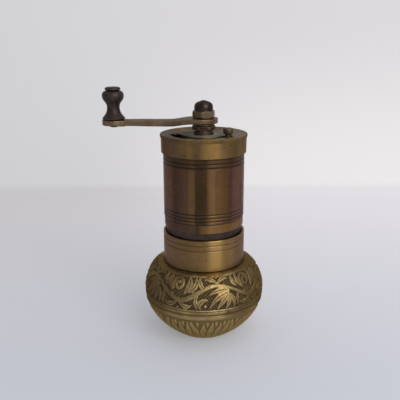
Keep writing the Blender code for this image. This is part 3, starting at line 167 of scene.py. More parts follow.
# Cloudy tarnish: the clean colour turns to the tarnished one in blotches, with small dark spots
def makeTarnishGroup():
    colours = {"Clean": (0.4, 0.3, 0.1), "Tarnished": (0.1, 0.06, 0.03), "Spots": (0.03, 0.02, 0.01)}
    values = {"Blotch Scale": 90.0, "Balance": 0.5, "Spot Amount": 0.5}
    group, given = newGroup("tarnish", colours | values)
    place, clean, tarnished, dark, scale, balance, amount = given
    cloud = noise(place, scale, 7.0, 0.62, 0.6)
    colour = mixColours(stretch(cloud, balance - 0.17, balance + 0.17), clean, tarnished)
    colour = shaded(colour, stretch(noise(place, 1500.0, 3.0, 0.6), 0.3, 0.7, 0.86, 1.12))
    spots = stretch(noise(place, 620.0, 2.0, 0.5, 0.3), 0.62, 0.72)
    return closeGroup(group, "Color", mixColours(spots * amount, colour, dark))


# Turning marks: noise read along the spindle's height only, so that it rings the piece
def makeLatheGroup():
    group, (place, marksPerMetre) = newGroup("turningMarks", {"Marks Per Metre": 5000.0})
    links = {"W": axis(place, "Z") * marksPerMetre, "Scale": 1.0, "Detail": 3.0, "Roughness": 0.7}
    return closeGroup(group, "Height", addNode(group, "TexNoise", "Fac", links, noise_dimensions="1D"))


# Streaks that run up the side: the place round the spindle counts much more than the height
def makeStreakGroup():
    values = {"Round": 6.0, "Up": 12.0, "Sharpness": 0.12, "Seed": 0.0}
    group, (place, roundBy, upBy, sharpness, seed) = newGroup("streaks", values)
    around = addNode(group, "VectorMath", 0, {0: flattened(place)}, operation="NORMALIZE")
    around = addNode(group, "VectorMath", 0, {0: around, "Scale": roundBy}, operation="SCALE")
    up = addNode(group, "CombineXYZ", 0, {"Z": axis(place, "Z") * upBy + seed})
    streak = noise(addNode(group, "VectorMath", 0, {0: around, 1: up}, operation="ADD"), 1.0, 4.0, 0.6)
    return closeGroup(group, "Mask", stretch(streak, 0.5 - sharpness, sharpness + 0.5))


# A ring of crust round the spindle at a radius, broken up by noise
def makeRingGroup():
    values = {"Radius": 0.008, "Width": 0.004, "Patchiness": 0.5}
    group, (place, radius, width, patchiness) = newGroup("crustRing", values)
    distance = addNode(group, "VectorMath", "Value", {0: flattened(place)}, operation="LENGTH")
    ring = stretch(maths("ABSOLUTE", distance - radius), width, 0.0)
    limit = patchiness * 0.75
    patches = stretch(noise(place, 420.0, 5.0, 0.65, 0.5), limit - 0.12, limit + 0.12)
    return closeGroup(group, "Mask", held(ring * patches))


# Fine scratches: two stretched noises at a slant, cut down to their thin crests
def makeScratchGroup():
    group, (place, amount) = newGroup("scratches", {"Amount": 0.5})
    masks = []
    for turn, stretchBy in ((0.6, (2400.0, 130.0, 2400.0)), (-0.9, (150.0, 2000.0, 2000.0))):
        links = {"Vector": place, "Rotation": (turn, 0.4, turn), "Scale": stretchBy}
        lines = noise(addNode(group, "Mapping", 0, links), 1.0, 1.0, 0.5)
        masks.append(stretch(maths("ABSOLUTE", lines - 0.5), 0.018, 0.0))
    gate = stretch(noise(place, 160.0, 2.0), 0.5, 0.68)
    return closeGroup(group, "Mask", maths("MAXIMUM", *masks) * gate * amount)


# One upright stripe: the angle round the spindle lies near Middle, wavering a little with height
def makeStripeGroup():
    values = {"Middle": 0.0, "Half Width": 0.1, "Soft": 0.05, "Waver": 0.05}
    group, (place, middle, half, soft, waver) = newGroup("stripe", values)
    angle = maths("ARCTAN2", axis(place, "Y"), axis(place, "X"))
    links = {"W": axis(place, "Z") * 60.0 + middle * 9.0, "Scale": 1.0}
    drift = addNode(group, "TexNoise", "Fac", links, noise_dimensions="1D")
    aside = angle + (drift - 0.5) * waver - middle
    aside = maths("ABSOLUTE", maths("WRAP", aside, math.pi, -math.pi))
    fade = stretch(drift, 0.25, 0.75, 1.0, 0.72)
    return closeGroup(group, "Mask", stretch(aside, half + soft, half - soft) * fade)


# A level band of the piece between two heights, with soft edges
def makeBandGroup():
    group, (place, low, high, soft) = newGroup("levelBand", {"Low": 0.0, "High": 0.01, "Soft": 0.0002})
    height = axis(place, "Z")
    inside = maths("MINIMUM", height - low, high - height)
    return closeGroup(group, "Mask", stretch(inside, soft * -1.0, soft))


# Crossed hatching: the nearer of two slanting sets of lines over the surface round the spindle
def makeHatchGroup():
    values = {"Rise": 0.0, "Lines Round": 113.0, "Pitch": 1.7, "Unevenness": 0.5}
    group, (place, rise, linesRound, pitch, unevenness) = newGroup("crossHatch", values)
    angle = maths("ARCTAN2", axis(place, "Y"), axis(place, "X"))
    across = angle * maths("DIVIDE", linesRound, 2.0 * math.pi)
    up = maths("DIVIDE", rise, pitch)
    drift = (noise(place, 260.0, 3.0) - 0.5) * unevenness
    pits = [maths("PINGPONG", line + drift, 0.5) for line in (across + up, across - up)]
    return closeGroup(group, "Pits", stretch(maths("MINIMUM", *pits) * 2.0, 0.12, 0.55))


groups = {
    "tarnish": makeTarnishGroup(),
    "lathe": makeLatheGroup(),
    "streaks": makeStreakGroup(),
    "ring": makeRingGroup(),
    "scratches": makeScratchGroup(),
    "stripe": makeStripeGroup(),
    "band": makeBandGroup(),
    "hatch": makeHatchGroup(),
}


# A group's mask or colour, with its inputs given in their order
def useGroup(name, place, *values):
    links = dict(enumerate((place, *values)))
    return addNode(place.tree, "Group", 0, links, node_tree=groups[name])


# The stripe's mask for an angle given in degrees to the right of the front
def stripeMask(place, middle, half, soft, waver=0.05):
    return useGroup("stripe", place, *np.radians((middle - 90.0, half, soft)).tolist(), waver)


# A material with its shader's inputs and the place on the object
def newMaterial(name):
    material = bpy.data.materials.new(name)
    material.use_nodes = True
    inputs = material.node_tree.nodes["Principled BSDF"].inputs
    return material, inputs, addNode(material.node_tree, "TexCoord", "Object")


def addBump(inputs, height, strength, distance):
    links = {"Height": height, "Strength": strength, "Distance": distance}
    plug(inputs["Normal"], addNode(height.tree, "Bump", "Normal", links))


# What a look leaves unsaid. The scales are in noise cells per metre, and the last row tells how much dirt,
# crust or cover roughens the surface and dulls the metal under it.
usualLook = dict(
    balance=0.5, blotchScale=90.0, spots=0.5, wear=0.8, dirt=0.9, scratches=0.3, metallic=1.0,
    roughness=(0.3, 0.5), marks=4000.0, markShade=0.1, markBump=0.3, pitScale=900.0, pitBump=0.5, bump=0.25,
    edgeTint=(0.62, 0.60, 0.60), tones={}, toneAndPaintedLightStripes=(), bands=(), patches=(), rings=(),
    patchSoft=0.14, sheenScale=260.0, scratchDepth=0.4, bumpReach=0.00006, coverShare=0.8, coverGloss=0.08,
    roughening=dict(dirt=0.35, crust=0.4, cover=0.15), dulling=dict(dirt=0.6, cover=0.7),
)


# Worn metal: tarnish, streaks, upright stripes and level bands of tone, bright worn edges and dirty hollows,
# with turning marks in the bump. On some pieces the stripes and bands paint light and shade into the colour.
# wear, dirt, groove and cover are the new pieces' own attributes; frame nodes have none and read zero.
def wornMetal(name, look):
    look = usualLook | look
    tones = look["tones"]
    material, inputs, place = newMaterial(name)
    keys = ("clean", "tarnished", "dark", "blotchScale", "balance", "spots")
    colour = useGroup("tarnish", place, *(look[key] for key in keys))
    if "streak" in look:
        *values, amount = look["streak"]
        colour = mixColours(useGroup("streaks", place, *values) * amount, colour, tones["streak"])
    if "cover" in tones:
        cover = attribute(place, "cover")
        colour = mixColours(cover * look["coverShare"], colour, tones["cover"])
    # Upright stripes: tone streaks round the back, and near the front painted highlights, painted reflections
    # and painted shade
    for tone, *stripe, amount in look["toneAndPaintedLightStripes"]:
        colour = mixColours(stripeMask(place, *stripe) * amount, colour, tones[tone])
    # Level bands of tone; on the barrel some of them are painted light and shade
    for tone, low, high, soft, amount, *side in look["bands"]:
        share = useGroup("band", place, low, high, soft) * amount
        if side:
            share = share * stripeMask(place, *side)
        colour = mixColours(share, colour, tones[tone])
    for tone, scale, limit, amount in look["patches"]:
        share = stretch(noise(place, scale, 5.0, 0.6, 0.3), limit, limit + look["patchSoft"])
        colour = mixColours(share * amount, colour, tones[tone])
    marks = useGroup("lathe", place, look["marks"])
    shade = stretch(marks, 0.25, 0.75)
    colour = shaded(colour, stretch(shade, 0.0, 1.0, 1.0 - look["markShade"], 1.0 + look["markShade"]))
    colour = mixColours(held(attribute(place, "wear") * look["wear"]), colour, look["worn"])
    scratches = useGroup("scratches", place, look["scratches"])
    colour = mixColours(scratches, colour, look["worn"])
    dirt = maths("MAXIMUM", attribute(place, "dirt"), attribute(place, "groove"))
    colour = mixColours(held(dirt * look["dirt"]), colour, look["dark"])
    roughening, dulling = look["roughening"], look["dulling"]
    rough = stretch(noise(place, look["sheenScale"], 5.0, 0.6), 0.3, 0.7, *look["roughness"])
    rough = held(rough + dirt * roughening["dirt"])
    metallic = held(look["metallic"] - dirt * dulling["dirt"])
    crust = 0.0
    for tone, radius, width, patchiness, amount in look["rings"]:
        share = useGroup("ring", place, radius, width, patchiness) * amount
        colour = mixColours(share, colour, tones[tone])
        crust = maths("MAXIMUM", share, crust)
    if look["rings"]:
        rough = held(rough + crust * roughening["crust"])
    if "cover" in tones:
        rough = held(rough + cover * roughening["cover"])
        metallic = held(metallic - cover * dulling["cover"])
        plug(inputs["Specular IOR Level"], look["coverGloss"])
    if "brushed" in look:  # turning marks spread the light along the spindle
        plug(inputs["Anisotropic"], look["brushed"])
        plug(inputs["Anisotropic Rotation"], 0.25)  # a quarter turn
        tangent = addNode(place.tree, "Tangent", "Tangent", direction_type="RADIAL", axis="Z")
        plug(inputs["Tangent"], tangent)
    plug(inputs["Base Color"], colour)
    plug(inputs["Roughness"], rough)
    plug(inputs["Metallic"], metallic)
    plug(inputs["Specular Tint"], look["edgeTint"])
    pits = noise(place, look["pitScale"], 4.0, 0.65) * look["pitBump"]
    height = marks * look["markBump"] + pits - scratches * look["scratchDepth"]
    addBump(inputs, height, look["bump"], look["bumpReach"])
    return material


# Shapes

# Each corner (radius, height, rounding) becomes a curve that leaves the sides that far from the corner
def roundedOutline(corners, closed=True, steps=4):
    points = []
    for index, (x, y, rounding) in enumerate(corners):
        here = np.array((x, y))
        atEnd = not closed and index in (0, len(corners) - 1)
        if rounding <= 0.0 or atEnd:
            points.append(here[None, :])
            continue
        back = np.array(corners[index - 1][:2]) - here
        ahead = np.array(corners[(index + 1) % len(corners)][:2]) - here
        reach = min(rounding, 0.49 * np.linalg.norm(back), 0.49 * np.linalg.norm(ahead))
        start = here + back / np.linalg.norm(back) * reach
        end = here + ahead / np.linalg.norm(ahead) * reach
        t = np.linspace(0.0, 1.0, steps + 1)[:, None]
        points.append((1 - t) ** 2 * start + 2 * t * (1 - t) * here + t**2 * end)
    return np.concatenate(points)


# Extra points on long straight stretches, close to their ends and then at even steps
def supported(outline, closed=True, near=0.00012, longest=0.0015):
    parts = []
    following = np.roll(outline, -1, axis=0) if closed else outline[1:]
    for start, end in zip(outline, following):
        length = np.linalg.norm(end - start)
        shares = [0.0]
        if length > 4 * near:
            count = max(1, int(math.ceil(length / longest)))
            shares = sorted({0.0, near / length, 1.0 - near / length, *(i / count for i in range(1, count))})
        parts.append(start + (end - start) * np.array(shares)[:, None])
    if not closed:
        parts.append(outline[-1:])
    return np.concatenate(parts)


# Cubic curve between two (radius, height) points, drawn by two handles
def cubicCurve(start, first, second, end, count):
    t = np.linspace(0.0, 1.0, count)[:, None]
    start, first, second, end = (np.array(point, float) for point in (start, first, second, end))
    return (1 - t) ** 3 * start + 3 * (1 - t) ** 2 * t * first + 3 * (1 - t) * t**2 * second + t**3 * end


# x = reach cos(angle), y = reach sin(angle), one row of points for each height
def roundGrid(reach, heights, angle):
    flat = np.broadcast_arrays(reach * np.cos(angle), reach * np.sin(angle), heights)
    return np.stack(flat, axis=-1)


# Even angles round the full circle
def fullTurn(count):
    return np.linspace(0.0, 2.0 * np.pi, count, endpoint=False)


# One ring of points for each outline point (radius, height)
def turnedGrid(outline, columns, centre=(0.0, 0.0)):
    return roundGrid(outline[:, 0:1], outline[:, 1:2], fullTurn(columns)) + (*centre, 0.0)


# Faces between neighbouring rows and columns of a grid of points
def gridFaces(rows, columns, wrapRows, wrapColumns=True):
    row = np.arange(rows if wrapRows else rows - 1)[:, None]
    column = np.arange(columns if wrapColumns else columns - 1)[None, :]
    nextRow = (row + 1) % rows
    nextColumn = (column + 1) % columns
    corners = (row * columns + column, row * columns + nextColumn)
    corners += (nextRow * columns + nextColumn, nextRow * columns + column)
    return np.stack(np.broadcast_arrays(*corners), axis=-1).reshape(-1, 4)


# Six times the volume that the faces enclose; negative where they point inwards
def signedVolume(points, faces):
    a, b, c, d = (points[faces[:, i]] for i in range(4))
    return (np.cross(a, b) * c).sum() + (np.cross(a, c) * d).sum()


# A grid of points as a mesh with its faces outwards, and with flat ends where asked
def meshFromGrid(name, grid, wrapRows=True, wrapColumns=True, capEnds=False):
    rows, columns = grid.shape[:2]
    points = grid.reshape(-1, 3)
    faces = gridFaces(rows, columns, wrapRows, wrapColumns)
    flip = signedVolume(points - points.mean(0), faces) < 0.0
    if flip:
        faces = faces[:, ::-1]
    faces = faces.tolist()
    if capEnds:
        first = list(range(columns))
        last = list(range((rows - 1) * columns, rows * columns))
        faces.append(first if flip else first[::-1])
        faces.append(last[::-1] if flip else last)
    mesh = bpy.data.meshes.new(name)
    mesh.from_pydata(points.tolist(), [], faces)
    mesh.validate()
    return mesh


# Poles: the points of a ring of no radius become one
def closePoles(mesh):
    shape = bmesh.new()
    shape.from_mesh(mesh)
    bmesh.ops.remove_doubles(shape, verts=shape.verts, dist=1e-7)
    bmesh.ops.dissolve_degenerate(shape, edges=shape.edges, dist=1e-8)
    shape.to_mesh(mesh)
    shape.free()


def pointValues(mesh, label):
    values = np.empty(len(mesh.vertices) * 3)
    mesh.vertices.foreach_get(label, values)
    return values.reshape(-1, 3)


def setValues(mesh, label, values):
    layer = mesh.attributes.new(label, "FLOAT", "POINT")
    layer.data.foreach_set("value", np.asarray(values).astype(np.float32).ravel())


# wear is how far a point stands out from its neighbours, dirt how far it lies behind them:
# the mean of (neighbour - point) / distance along the point's normal, spread over a few rings
def markWear(mesh, gain=3.0, spread=2):
    count = len(mesh.vertices)
    points = pointValues(mesh, "co")
    normals = pointValues(mesh, "normal")
    pairs = np.empty(len(mesh.edges) * 2, int)
    mesh.edges.foreach_get("vertices", pairs)
    a, b = pairs.reshape(-1, 2).T
    step = points[b] - points[a]
    step /= np.maximum(np.linalg.norm(step, axis=1), 1e-9)[:, None]
    weight = np.maximum(np.bincount(a, minlength=count) + np.bincount(b, minlength=count), 1)
    bend = np.bincount(b, (step * normals[b]).sum(1), count)
    bend = (bend - np.bincount(a, (step * normals[a]).sum(1), count)) / weight
    for _ in range(spread):
        bend = 0.5 * bend + 0.5 * (np.bincount(a, bend[b], count) + np.bincount(b, bend[a], count)) / weight
    setValues(mesh, "wear", np.clip(bend * gain, 0.0, 1.0))
    setValues(mesh, "dirt", np.clip(-bend * gain, 0.0, 1.0))


def linkObject(name, data):
    thing = bpy.data.objects.new(name, data)
    bpy.context.scene.collection.objects.link(thing)
    return thing


def crease(mesh, sharpDegrees):
    mesh.shade_smooth()
    mesh.set_sharp_from_angle(angle=math.radians(sharpDegrees))


def addPiece(name, mesh, body, material, node, sharpDegrees=50.0, mark=True):
    crease(mesh, sharpDegrees)
    if mark:
        markWear(mesh)
    mesh.materials.append(material)
    piece = linkObject(name, mesh)
    if body:
        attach(piece, body)
    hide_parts(node)
    return piece


# A turned piece from its corners (radius, height, rounding). A solid one starts and ends on its own axis.
def turnedPiece(
        name, corners, body, material, node, columns,
        solid=False, centre=(0.0, 0.0), longest=0.0015):
    outline = supported(roundedOutline(corners, not solid), not solid, longest=longest)
    mesh = meshFromGrid(name, turnedGrid(outline, columns, centre), not solid)
    if solid:
        closePoles(mesh)
    return addPiece(name, mesh, body, material, node)


# groove is 1 at a groove's bottom and falls to 0 at its edges, on points further out than the given radius
def markGrooves(mesh, grooves, outside):
    points = pointValues(mesh, "co")
    depth = np.zeros(len(points))
    for height, _, halfWidth in grooves:
        depth = np.maximum(depth, 1.0 - np.abs(points[:, 2] - height) / (1.15 * halfWidth))
    setValues(mesh, "groove", depth * (np.hypot(points[:, 0], points[:, 1]) > outside))


# Corners of an upright side with V grooves in it. Each groove is (height, depth, half width).
def sideWithGrooves(radius, grooves, rounding=0.00012):
    corners = []
    for height, depth, halfWidth in sorted(grooves):
        corners.append((radius, height - halfWidth, rounding))
        corners.append((radius - depth, height, rounding * 0.7))
        corners.append((radius, height + halfWidth, rounding))
    return corners


# A cutter with a row of points for each of its heights
def makeCutter(rows):
    return linkObject("cutter", meshFromGrid("cutter", np.stack(rows), wrapRows=False, capEnds=True))


def roundCutter(radius, centre, height, reach=0.01):
    outline = np.array(((radius, height - reach), (radius, height + reach)))
    return makeCutter(turnedGrid(outline, 48, centre))


# The cutters are taken out of the piece, which then gets its creases and its wear
def cutOut(piece, *cutters):
    for cutter in cutters:
        modifier = piece.modifiers.new("cut", "BOOLEAN")
        modifier.object = cutter
        modifier.operation = "DIFFERENCE"
        modifier.solver = "EXACT"
        bpy.context.view_layer.update()
        evaluated = piece.evaluated_get(bpy.context.evaluated_depsgraph_get())
        cut = bpy.data.meshes.new_from_object(evaluated)
        piece.modifiers.remove(modifier)
        old = piece.data
        piece.data = cut
        bpy.data.meshes.remove(old)
        bpy.data.objects.remove(cutter, do_unlink=True)
    crease(piece.data, 40.0)
    markWear(piece.data)


def nodeBox(node):
    low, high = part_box(node)
    return np.array(low), np.array(high)


# Where a turned node stands, seen from above
def middleOf(node):
    low, high = nodeBox(node)
    return (low[:2] + high[:2]) / 2


edgeRound = 0.00018  # the usual rounding of a turned edge


# Cup: the bulb with its ornament, its base plate and its neck

bulbSettings = dict(
    columns=640,
    footRadius=0.0143,
    footFlare=(0.0211, 0.0044),
    bellyRadius=0.0305,
    bellyHeight=0.0230,
    underBelly=0.0131,
    overBelly=0.0305,
    shoulderRadius=0.02095,
    shoulderHeight=0.0387,
    shoulderHandle=0.0056,
    wall=0.0016,
    lipRadius=0.0189,
    throatRadius=0.0176,
    ledgeHeight=0.0415,
    baseHole=0.0108,
    baseLip=0.0009,
    upperBand=(0.0294, 0.0470),  # distances up the outline from the foot
    lowerBand=(0.0052, 0.0243),
    beltGrooves=((0.0288, 0.00022, 0.00040), (0.0268, 0.00032, 0.00075)),
    beltRidge=(0.0252, 0.00016, 0.00060),
    ground=-0.00038,
    face=0.00012,
    slope=0.00022,
    crown=0.00014,
    vein=0.00020,
    hatchDepth=0.00016,
    hatchRound=113,
    hatchPitch=0.0017,
    insideRaised=0.35,  # the inside takes this share of the faces' look
    clean=(0.46, 0.330, 0.128),
    tarnished=(0.265, 0.180, 0.070),
    patina=(0.138, 0.092, 0.038),
    rosy=(0.180, 0.112, 0.068),
    dark=(0.030, 0.021, 0.009),
    # worn is the colour of bright edges: a painted highlight in the front zone, worn brass elsewhere
    worn=(0.66, 0.52, 0.29),
    edgeTint=(0.45, 0.40, 0.35),
    # Zones where the faces are brighter: the first, at the front, is a painted highlight, the two at the back
    # rubbed wear
    litAndRubbedZones=((3.0, 27.0, 15.0), (140.0, 26.0, 18.0), (-122.0, 24.0, 16.0)),  # degrees from the front
    litAndRubbedWaver=0.5,
    faceCloud=(110.0, 0.5, 0.6),  # blotch scale, balance, spots
    dullCloud=(65.0, 0.44, 0.6),
    rubAndGlintScale=130.0,
    grimeScale=240.0,
    castRoughness=(0.37, 0.55),
    groundRoughening=0.25,
    groundDulling=0.45,
    castBump=(0.35, 0.00012),
)

# One repeat of the upper band in millimetres, drawn on a band 15.2 high. A leaf is its root, two handles,
# its tip and the half widths at root, middle and tip.
foliage = dict(
    repeats=5,
    height=15.2,
    boldness=1.25,
    stemMiddle=7.6,
    stemSwing=3.4,
    stemHalf=0.90,
    palmette=(
        ((15.5, 8.0), (13.0, 9.3), (8.5, 9.2), (5.2, 6.8), (0.50, 1.00, 0.14)),
        ((15.3, 7.4), (12.5, 7.2), (7.6, 6.0), (5.6, 1.0), (0.40, 1.10, 0.14)),
        ((15.3, 6.8), (13.5, 5.2), (10.8, 3.6), (9.2, 0.6), (0.40, 1.00, 0.14)),
        ((15.8, 6.5), (15.6, 4.6), (14.6, 2.8), (13.4, 0.6), (0.40, 0.90, 0.14)),
        ((16.3, 6.5), (17.4, 5.0), (18.2, 3.4), (17.6, 0.8), (0.35, 0.85, 0.14)),
    ),
    sprays=(
        ((31.5, 7.2), (33.5, 9.5), (34.7, 12.0), (33.0, 14.6), (0.50, 1.20, 0.14)),
        ((33.8, 7.9), (36.2, 9.2), (38.0, 11.0), (37.0, 14.4), (0.40, 1.00, 0.14)),
        ((23.6, 8.8), (21.9, 10.2), (21.2, 12.2), (22.6, 14.7), (0.35, 1.00, 0.14)),
        ((20.6, 9.3), (18.8, 10.4), (17.9, 12.4), (19.0, 14.6), (0.30, 0.85, 0.14)),
    ),
    small=(
        ((9.4, 12.0), (7.2, 13.6), (5.2, 14.2), (3.4, 13.0), (0.40, 0.85, 0.10)),
        ((10.3, 12.0), (12.3, 13.8), (14.2, 14.3), (16.2, 13.0), (0.40, 0.85, 0.10)),
        ((27.5, 3.0), (25.6, 1.6), (23.6, 1.0), (21.0, 2.4), (0.40, 0.85, 0.10)),
        ((29.3, 3.0), (31.2, 1.4), (33.4, 0.9), (35.4, 2.4), (0.40, 0.85, 0.10)),
        ((4.4, 5.0), (1.6, 5.0), (-0.2, 3.0), (1.4, 0.7), (0.35, 0.95, 0.14)),
        ((38.2, 6.4), (36.9, 5.0), (36.9, 3.0), (38.0, 0.8), (0.30, 0.75, 0.14)),
        ((3.4, 9.4), (1.2, 10.4), (0.0, 12.4), (1.0, 14.6), (0.40, 0.95, 0.14)),
        ((20.9, 6.6), (19.9, 5.4), (19.6, 3.6), (20.2, 0.8), (0.30, 0.70, 0.14)),
    ),
    berries=(
        (3.6, 2.2, 0.75), (6.6, 10.6, 0.60), (13.2, 10.8, 0.60), (24.9, 5.9, 0.60), (32.4, 4.6, 0.60),
        (28.4, 0.9, 0.50), (9.8, 14.3, 0.50), (35.6, 8.0, 0.5),
    ),
    # centre, outer and inner radius, first angle, turns, half widths, bud
    scroll=((27.5, 10.6), 3.6, 0.9, math.radians(215.0), 1.35, (1.05, 0.90, 0.60), 0.95),
    lowRepeats=9,
    lowLeaves=5,
    lowShare=0.8,  # how high the lower band stands beside the upper one
    border=(0.50, 0.10, 1.4, 0.2),  # where the plain edge starts and is full, at the foot and at the top
    lowBorder=(3.0, 0.8, 0.9, 0.2),
)


# A stroke is a row of discs (across, up, half width) in millimetres along a cubic curve
def curvedStroke(start, first, second, end, widths, count=44):
    t = np.linspace(0.0, 1.0, count)
    line = cubicCurve(start, first, second, end, count)
    half = np.interp(t, (0.0, 0.5, 1.0), widths)
    bulge = np.sin(np.pi * t) * 0.12 * max(widths)
    return np.column_stack((line, half + bulge))


# A scroll winds in clockwise from its outer radius, thinning as it goes, to a round bud
def scrollStroke(centre, outer, inner, startAngle, turns, widths, bud, count=110):
    t = np.linspace(0.0, 1.0, count)
    angle = startAngle - 2.0 * np.pi * turns * t
    radius = outer + (inner - outer) * t
    x = centre[0] + radius * np.cos(angle)
    y = centre[1] + radius * np.sin(angle)
    stroke = np.column_stack((x, y, np.interp(t, (0.0, 0.15, 1.0), widths)))
    return np.vstack((stroke, (x[-1] + 0.2, y[-1], bud)))


# A waving stem across one repeat, with a fan of leaves in one bend and a scroll in the other
def foliageOrnament(width, s):
    across = np.linspace(0.0, width, 160, endpoint=False)
    turn = 2.0 * np.pi * across / width
    stem = s["stemMiddle"] + s["stemSwing"] * np.sin(turn) + 0.25 * np.sin(2.0 * turn + 1.0)
    half = s["stemHalf"] + 0.17 * np.sin(turn + 2.0)
    leaves = [curvedStroke(*leaf) for leaf in (*s["palmette"], *s["sprays"], *s["small"])]
    for leaf in leaves:
        leaf[:, 2] *= s["boldness"]
    scroll = scrollStroke(*s["scroll"])
    berries = [np.array((berry,)) for berry in s["berries"]]
    return leaves, [np.column_stack((across, stem, half)), scroll, *berries]


# One repeat of the lower band: leaves that lean and reach up by turns, with drops and beads between them
def lowOrnament(width, s):
    step = width / s["lowLeaves"]
    leaves = []
    beads = []
    for index in range(s["lowLeaves"]):
        middle = (index + 0.5) * step
        lean = 1.2 * math.sin(2.1 * index + 0.5)
        tip = 16.2 + 0.8 * math.sin(1.7 * index)
        root = (middle - 0.4 * lean, 2.4)
        handles = (middle - lean, 7.0), (middle + 0.9 * lean, 11.5)
        leaves.append(curvedStroke(root, *handles, (middle + lean, tip), (0.60, 1.30, 0.30)))
        drop = middle + step / 2 + 0.5 * lean
        beads.append(curvedStroke((drop, 13.2), (drop, 14.2), (drop, 15.2), (drop, 16.6), (0.15, 0.45, 0.62)))
        beads.append(np.array(((middle + step / 2, 5.0, 0.42),)))
    return leaves, beads


# The same strokes as thin lines, for the vein engraved down each leaf
def veinStrokes(leaves, half):
    return [np.column_stack((leaf[4:-6, :2], np.full(len(leaf) - 10, half))) for leaf in leaves]


# Distance inside the nearest stroke, in millimetres: the largest (half width - distance) over its discs
def insideStrokes(strokes, across, up, width, narrowing):
    inside = np.full(across.shape, -9.0)
    for stroke in strokes:
        for x, y, half in stroke:
            aside = (across - x + width / 2) % width - width / 2
            inside = np.maximum(inside, half - np.hypot(aside * narrowing, up - y))
    return inside


# 0 up to low, 1 from high on, and 3t² - 2t³ of the share t between them
def smoothStep(value, low, high):
    share = np.clip((value - low) / (high - low), 0.0, 1.0)
    return share * share * (3.0 - 2.0 * share)


# Outer outline of the bulb with the distance along it, from the foot to the shoulder
def bulbOutline(s, count=420):
    belly = (s["bellyRadius"], s["bellyHeight"])
    shoulder = (s["shoulderRadius"], s["shoulderHeight"])
    under = (s["bellyRadius"], s["underBelly"])
    over = (s["bellyRadius"], s["overBelly"])
    beforeShoulder = (s["shoulderRadius"] + s["shoulderHandle"], s["shoulderHeight"])
    lower = cubicCurve((s["footRadius"], 0.0), s["footFlare"], under, belly, count)
    upper = cubicCurve(belly, over, beforeShoulder, shoulder, count)
    outline = np.vstack((lower, upper[1:]))
    along = np.concatenate(([0.0], np.cumsum(np.linalg.norm(np.diff(outline, axis=0), axis=1))))
    return outline, along


# Relief of one band: raised faces with crowned leaves and veins over a hatched ground.
# raised is 1 on the faces, height is in metres over the smooth surface.
def bandRelief(s, ornament, across, up, width, narrowing):
    slope = s["slope"] * 1000.0
    leaves, others = ornament
    inLeaves = insideStrokes(leaves, across, up, width, narrowing)
    inside = np.maximum(inLeaves, insideStrokes(others, across, up, width, narrowing))
    veins = smoothStep(insideStrokes(veinStrokes(leaves, 0.20), across, up, width, narrowing), -0.12, 0.12)
    veins = veins * smoothStep(inLeaves, 0.25, 0.6)
    raised = smoothStep(inside, -slope, slope)
    height = s["ground"] + (s["face"] - s["ground"]) * raised
    height = height + s["crown"] * smoothStep(inside, 0.0, 0.9) - s["vein"] * veins
    return height, raised * (1.0 - 0.55 * veins)


# Height of the relief over the bulb's surface, and a mask that is 1 on raised faces
def bulbRelief(s, along, radius, angle):
    mm = 1000.0
    girth = 2.0 * np.pi * s["bellyRadius"] * mm
    narrowing = (radius / s["bellyRadius"])[:, None]
    rows = along[:, None]
    sway = 0.45 * np.sin(2 * angle + 0.7) + 0.30 * np.sin(3 * angle + 2.0) + 0.18 * np.sin(7 * angle)
    around = np.broadcast_to(angle * s["bellyRadius"] * mm + sway, (len(along), len(angle)))

    low, high = s["upperBand"]
    full = foliage["height"]
    footStart, footEnd, topStart, topEnd = foliage["border"]
    width = girth / foliage["repeats"]
    up = (rows - low) / (high - low) * full
    up = up + 0.35 * np.sin(4 * angle + 1.0) * np.sin(np.pi * np.clip(up / full, 0.0, 1.0))
    ornament = foliageOrnament(width, foliage)
    height, raised = bandRelief(s, ornament, (around + 13.0) % width, up, width, narrowing)
    border = np.maximum(smoothStep(up, footStart, footEnd), smoothStep(up, full - topStart, full - topEnd))
    height = height * (1.0 - border)
    raised = np.maximum(raised, border)

    lowFoot, lowTop = s["lowerBand"]
    span = (lowTop - lowFoot) * mm
    footStart, footEnd, topStart, topEnd = foliage["lowBorder"]
    width = girth / foliage["lowRepeats"]
    up = np.broadcast_to((rows - lowFoot) * mm, around.shape)
    lowHeight, lowRaised = bandRelief(s, lowOrnament(width, foliage), around % width, up, width, narrowing)
    border = np.maximum(smoothStep(up, footStart, footEnd), smoothStep(up, span - topStart, span - topEnd))
    lowHeight = foliage["lowShare"] * lowHeight * (1.0 - border)
    lowRaised = np.maximum(lowRaised, border)

    inUpper = (rows > low) & (rows < high)
    inLower = (rows > lowFoot) & (rows < lowTop)
    relief = np.where(inUpper, height, np.where(inLower, lowHeight, 0.0))
    raised = np.where(inUpper, raised, np.where(inLower, lowRaised, 1.0))

    turns = angle * s["hatchRound"] / (2.0 * np.pi)
    lines = rows / s["hatchPitch"]
    pits = np.minimum(np.abs((turns + lines) % 1.0 - 0.5), np.abs((turns - lines) % 1.0 - 0.5))
    relief = relief - s["hatchDepth"] * smoothStep(0.5 - pits, 0.1, 0.4) * (1.0 - raised)
    for place, depth, halfWidth in s["beltGrooves"]:
        notch = np.clip(1.0 - np.abs(rows - place) / halfWidth, 0.0, 1.0)
        relief = relief - depth * notch
        raised = raised * (1.0 - 0.75 * notch)
    place, lift, halfWidth = s["beltRidge"]
    relief = relief + lift * smoothStep(halfWidth - np.abs(rows - place), 0.0, halfWidth)
    return relief, raised


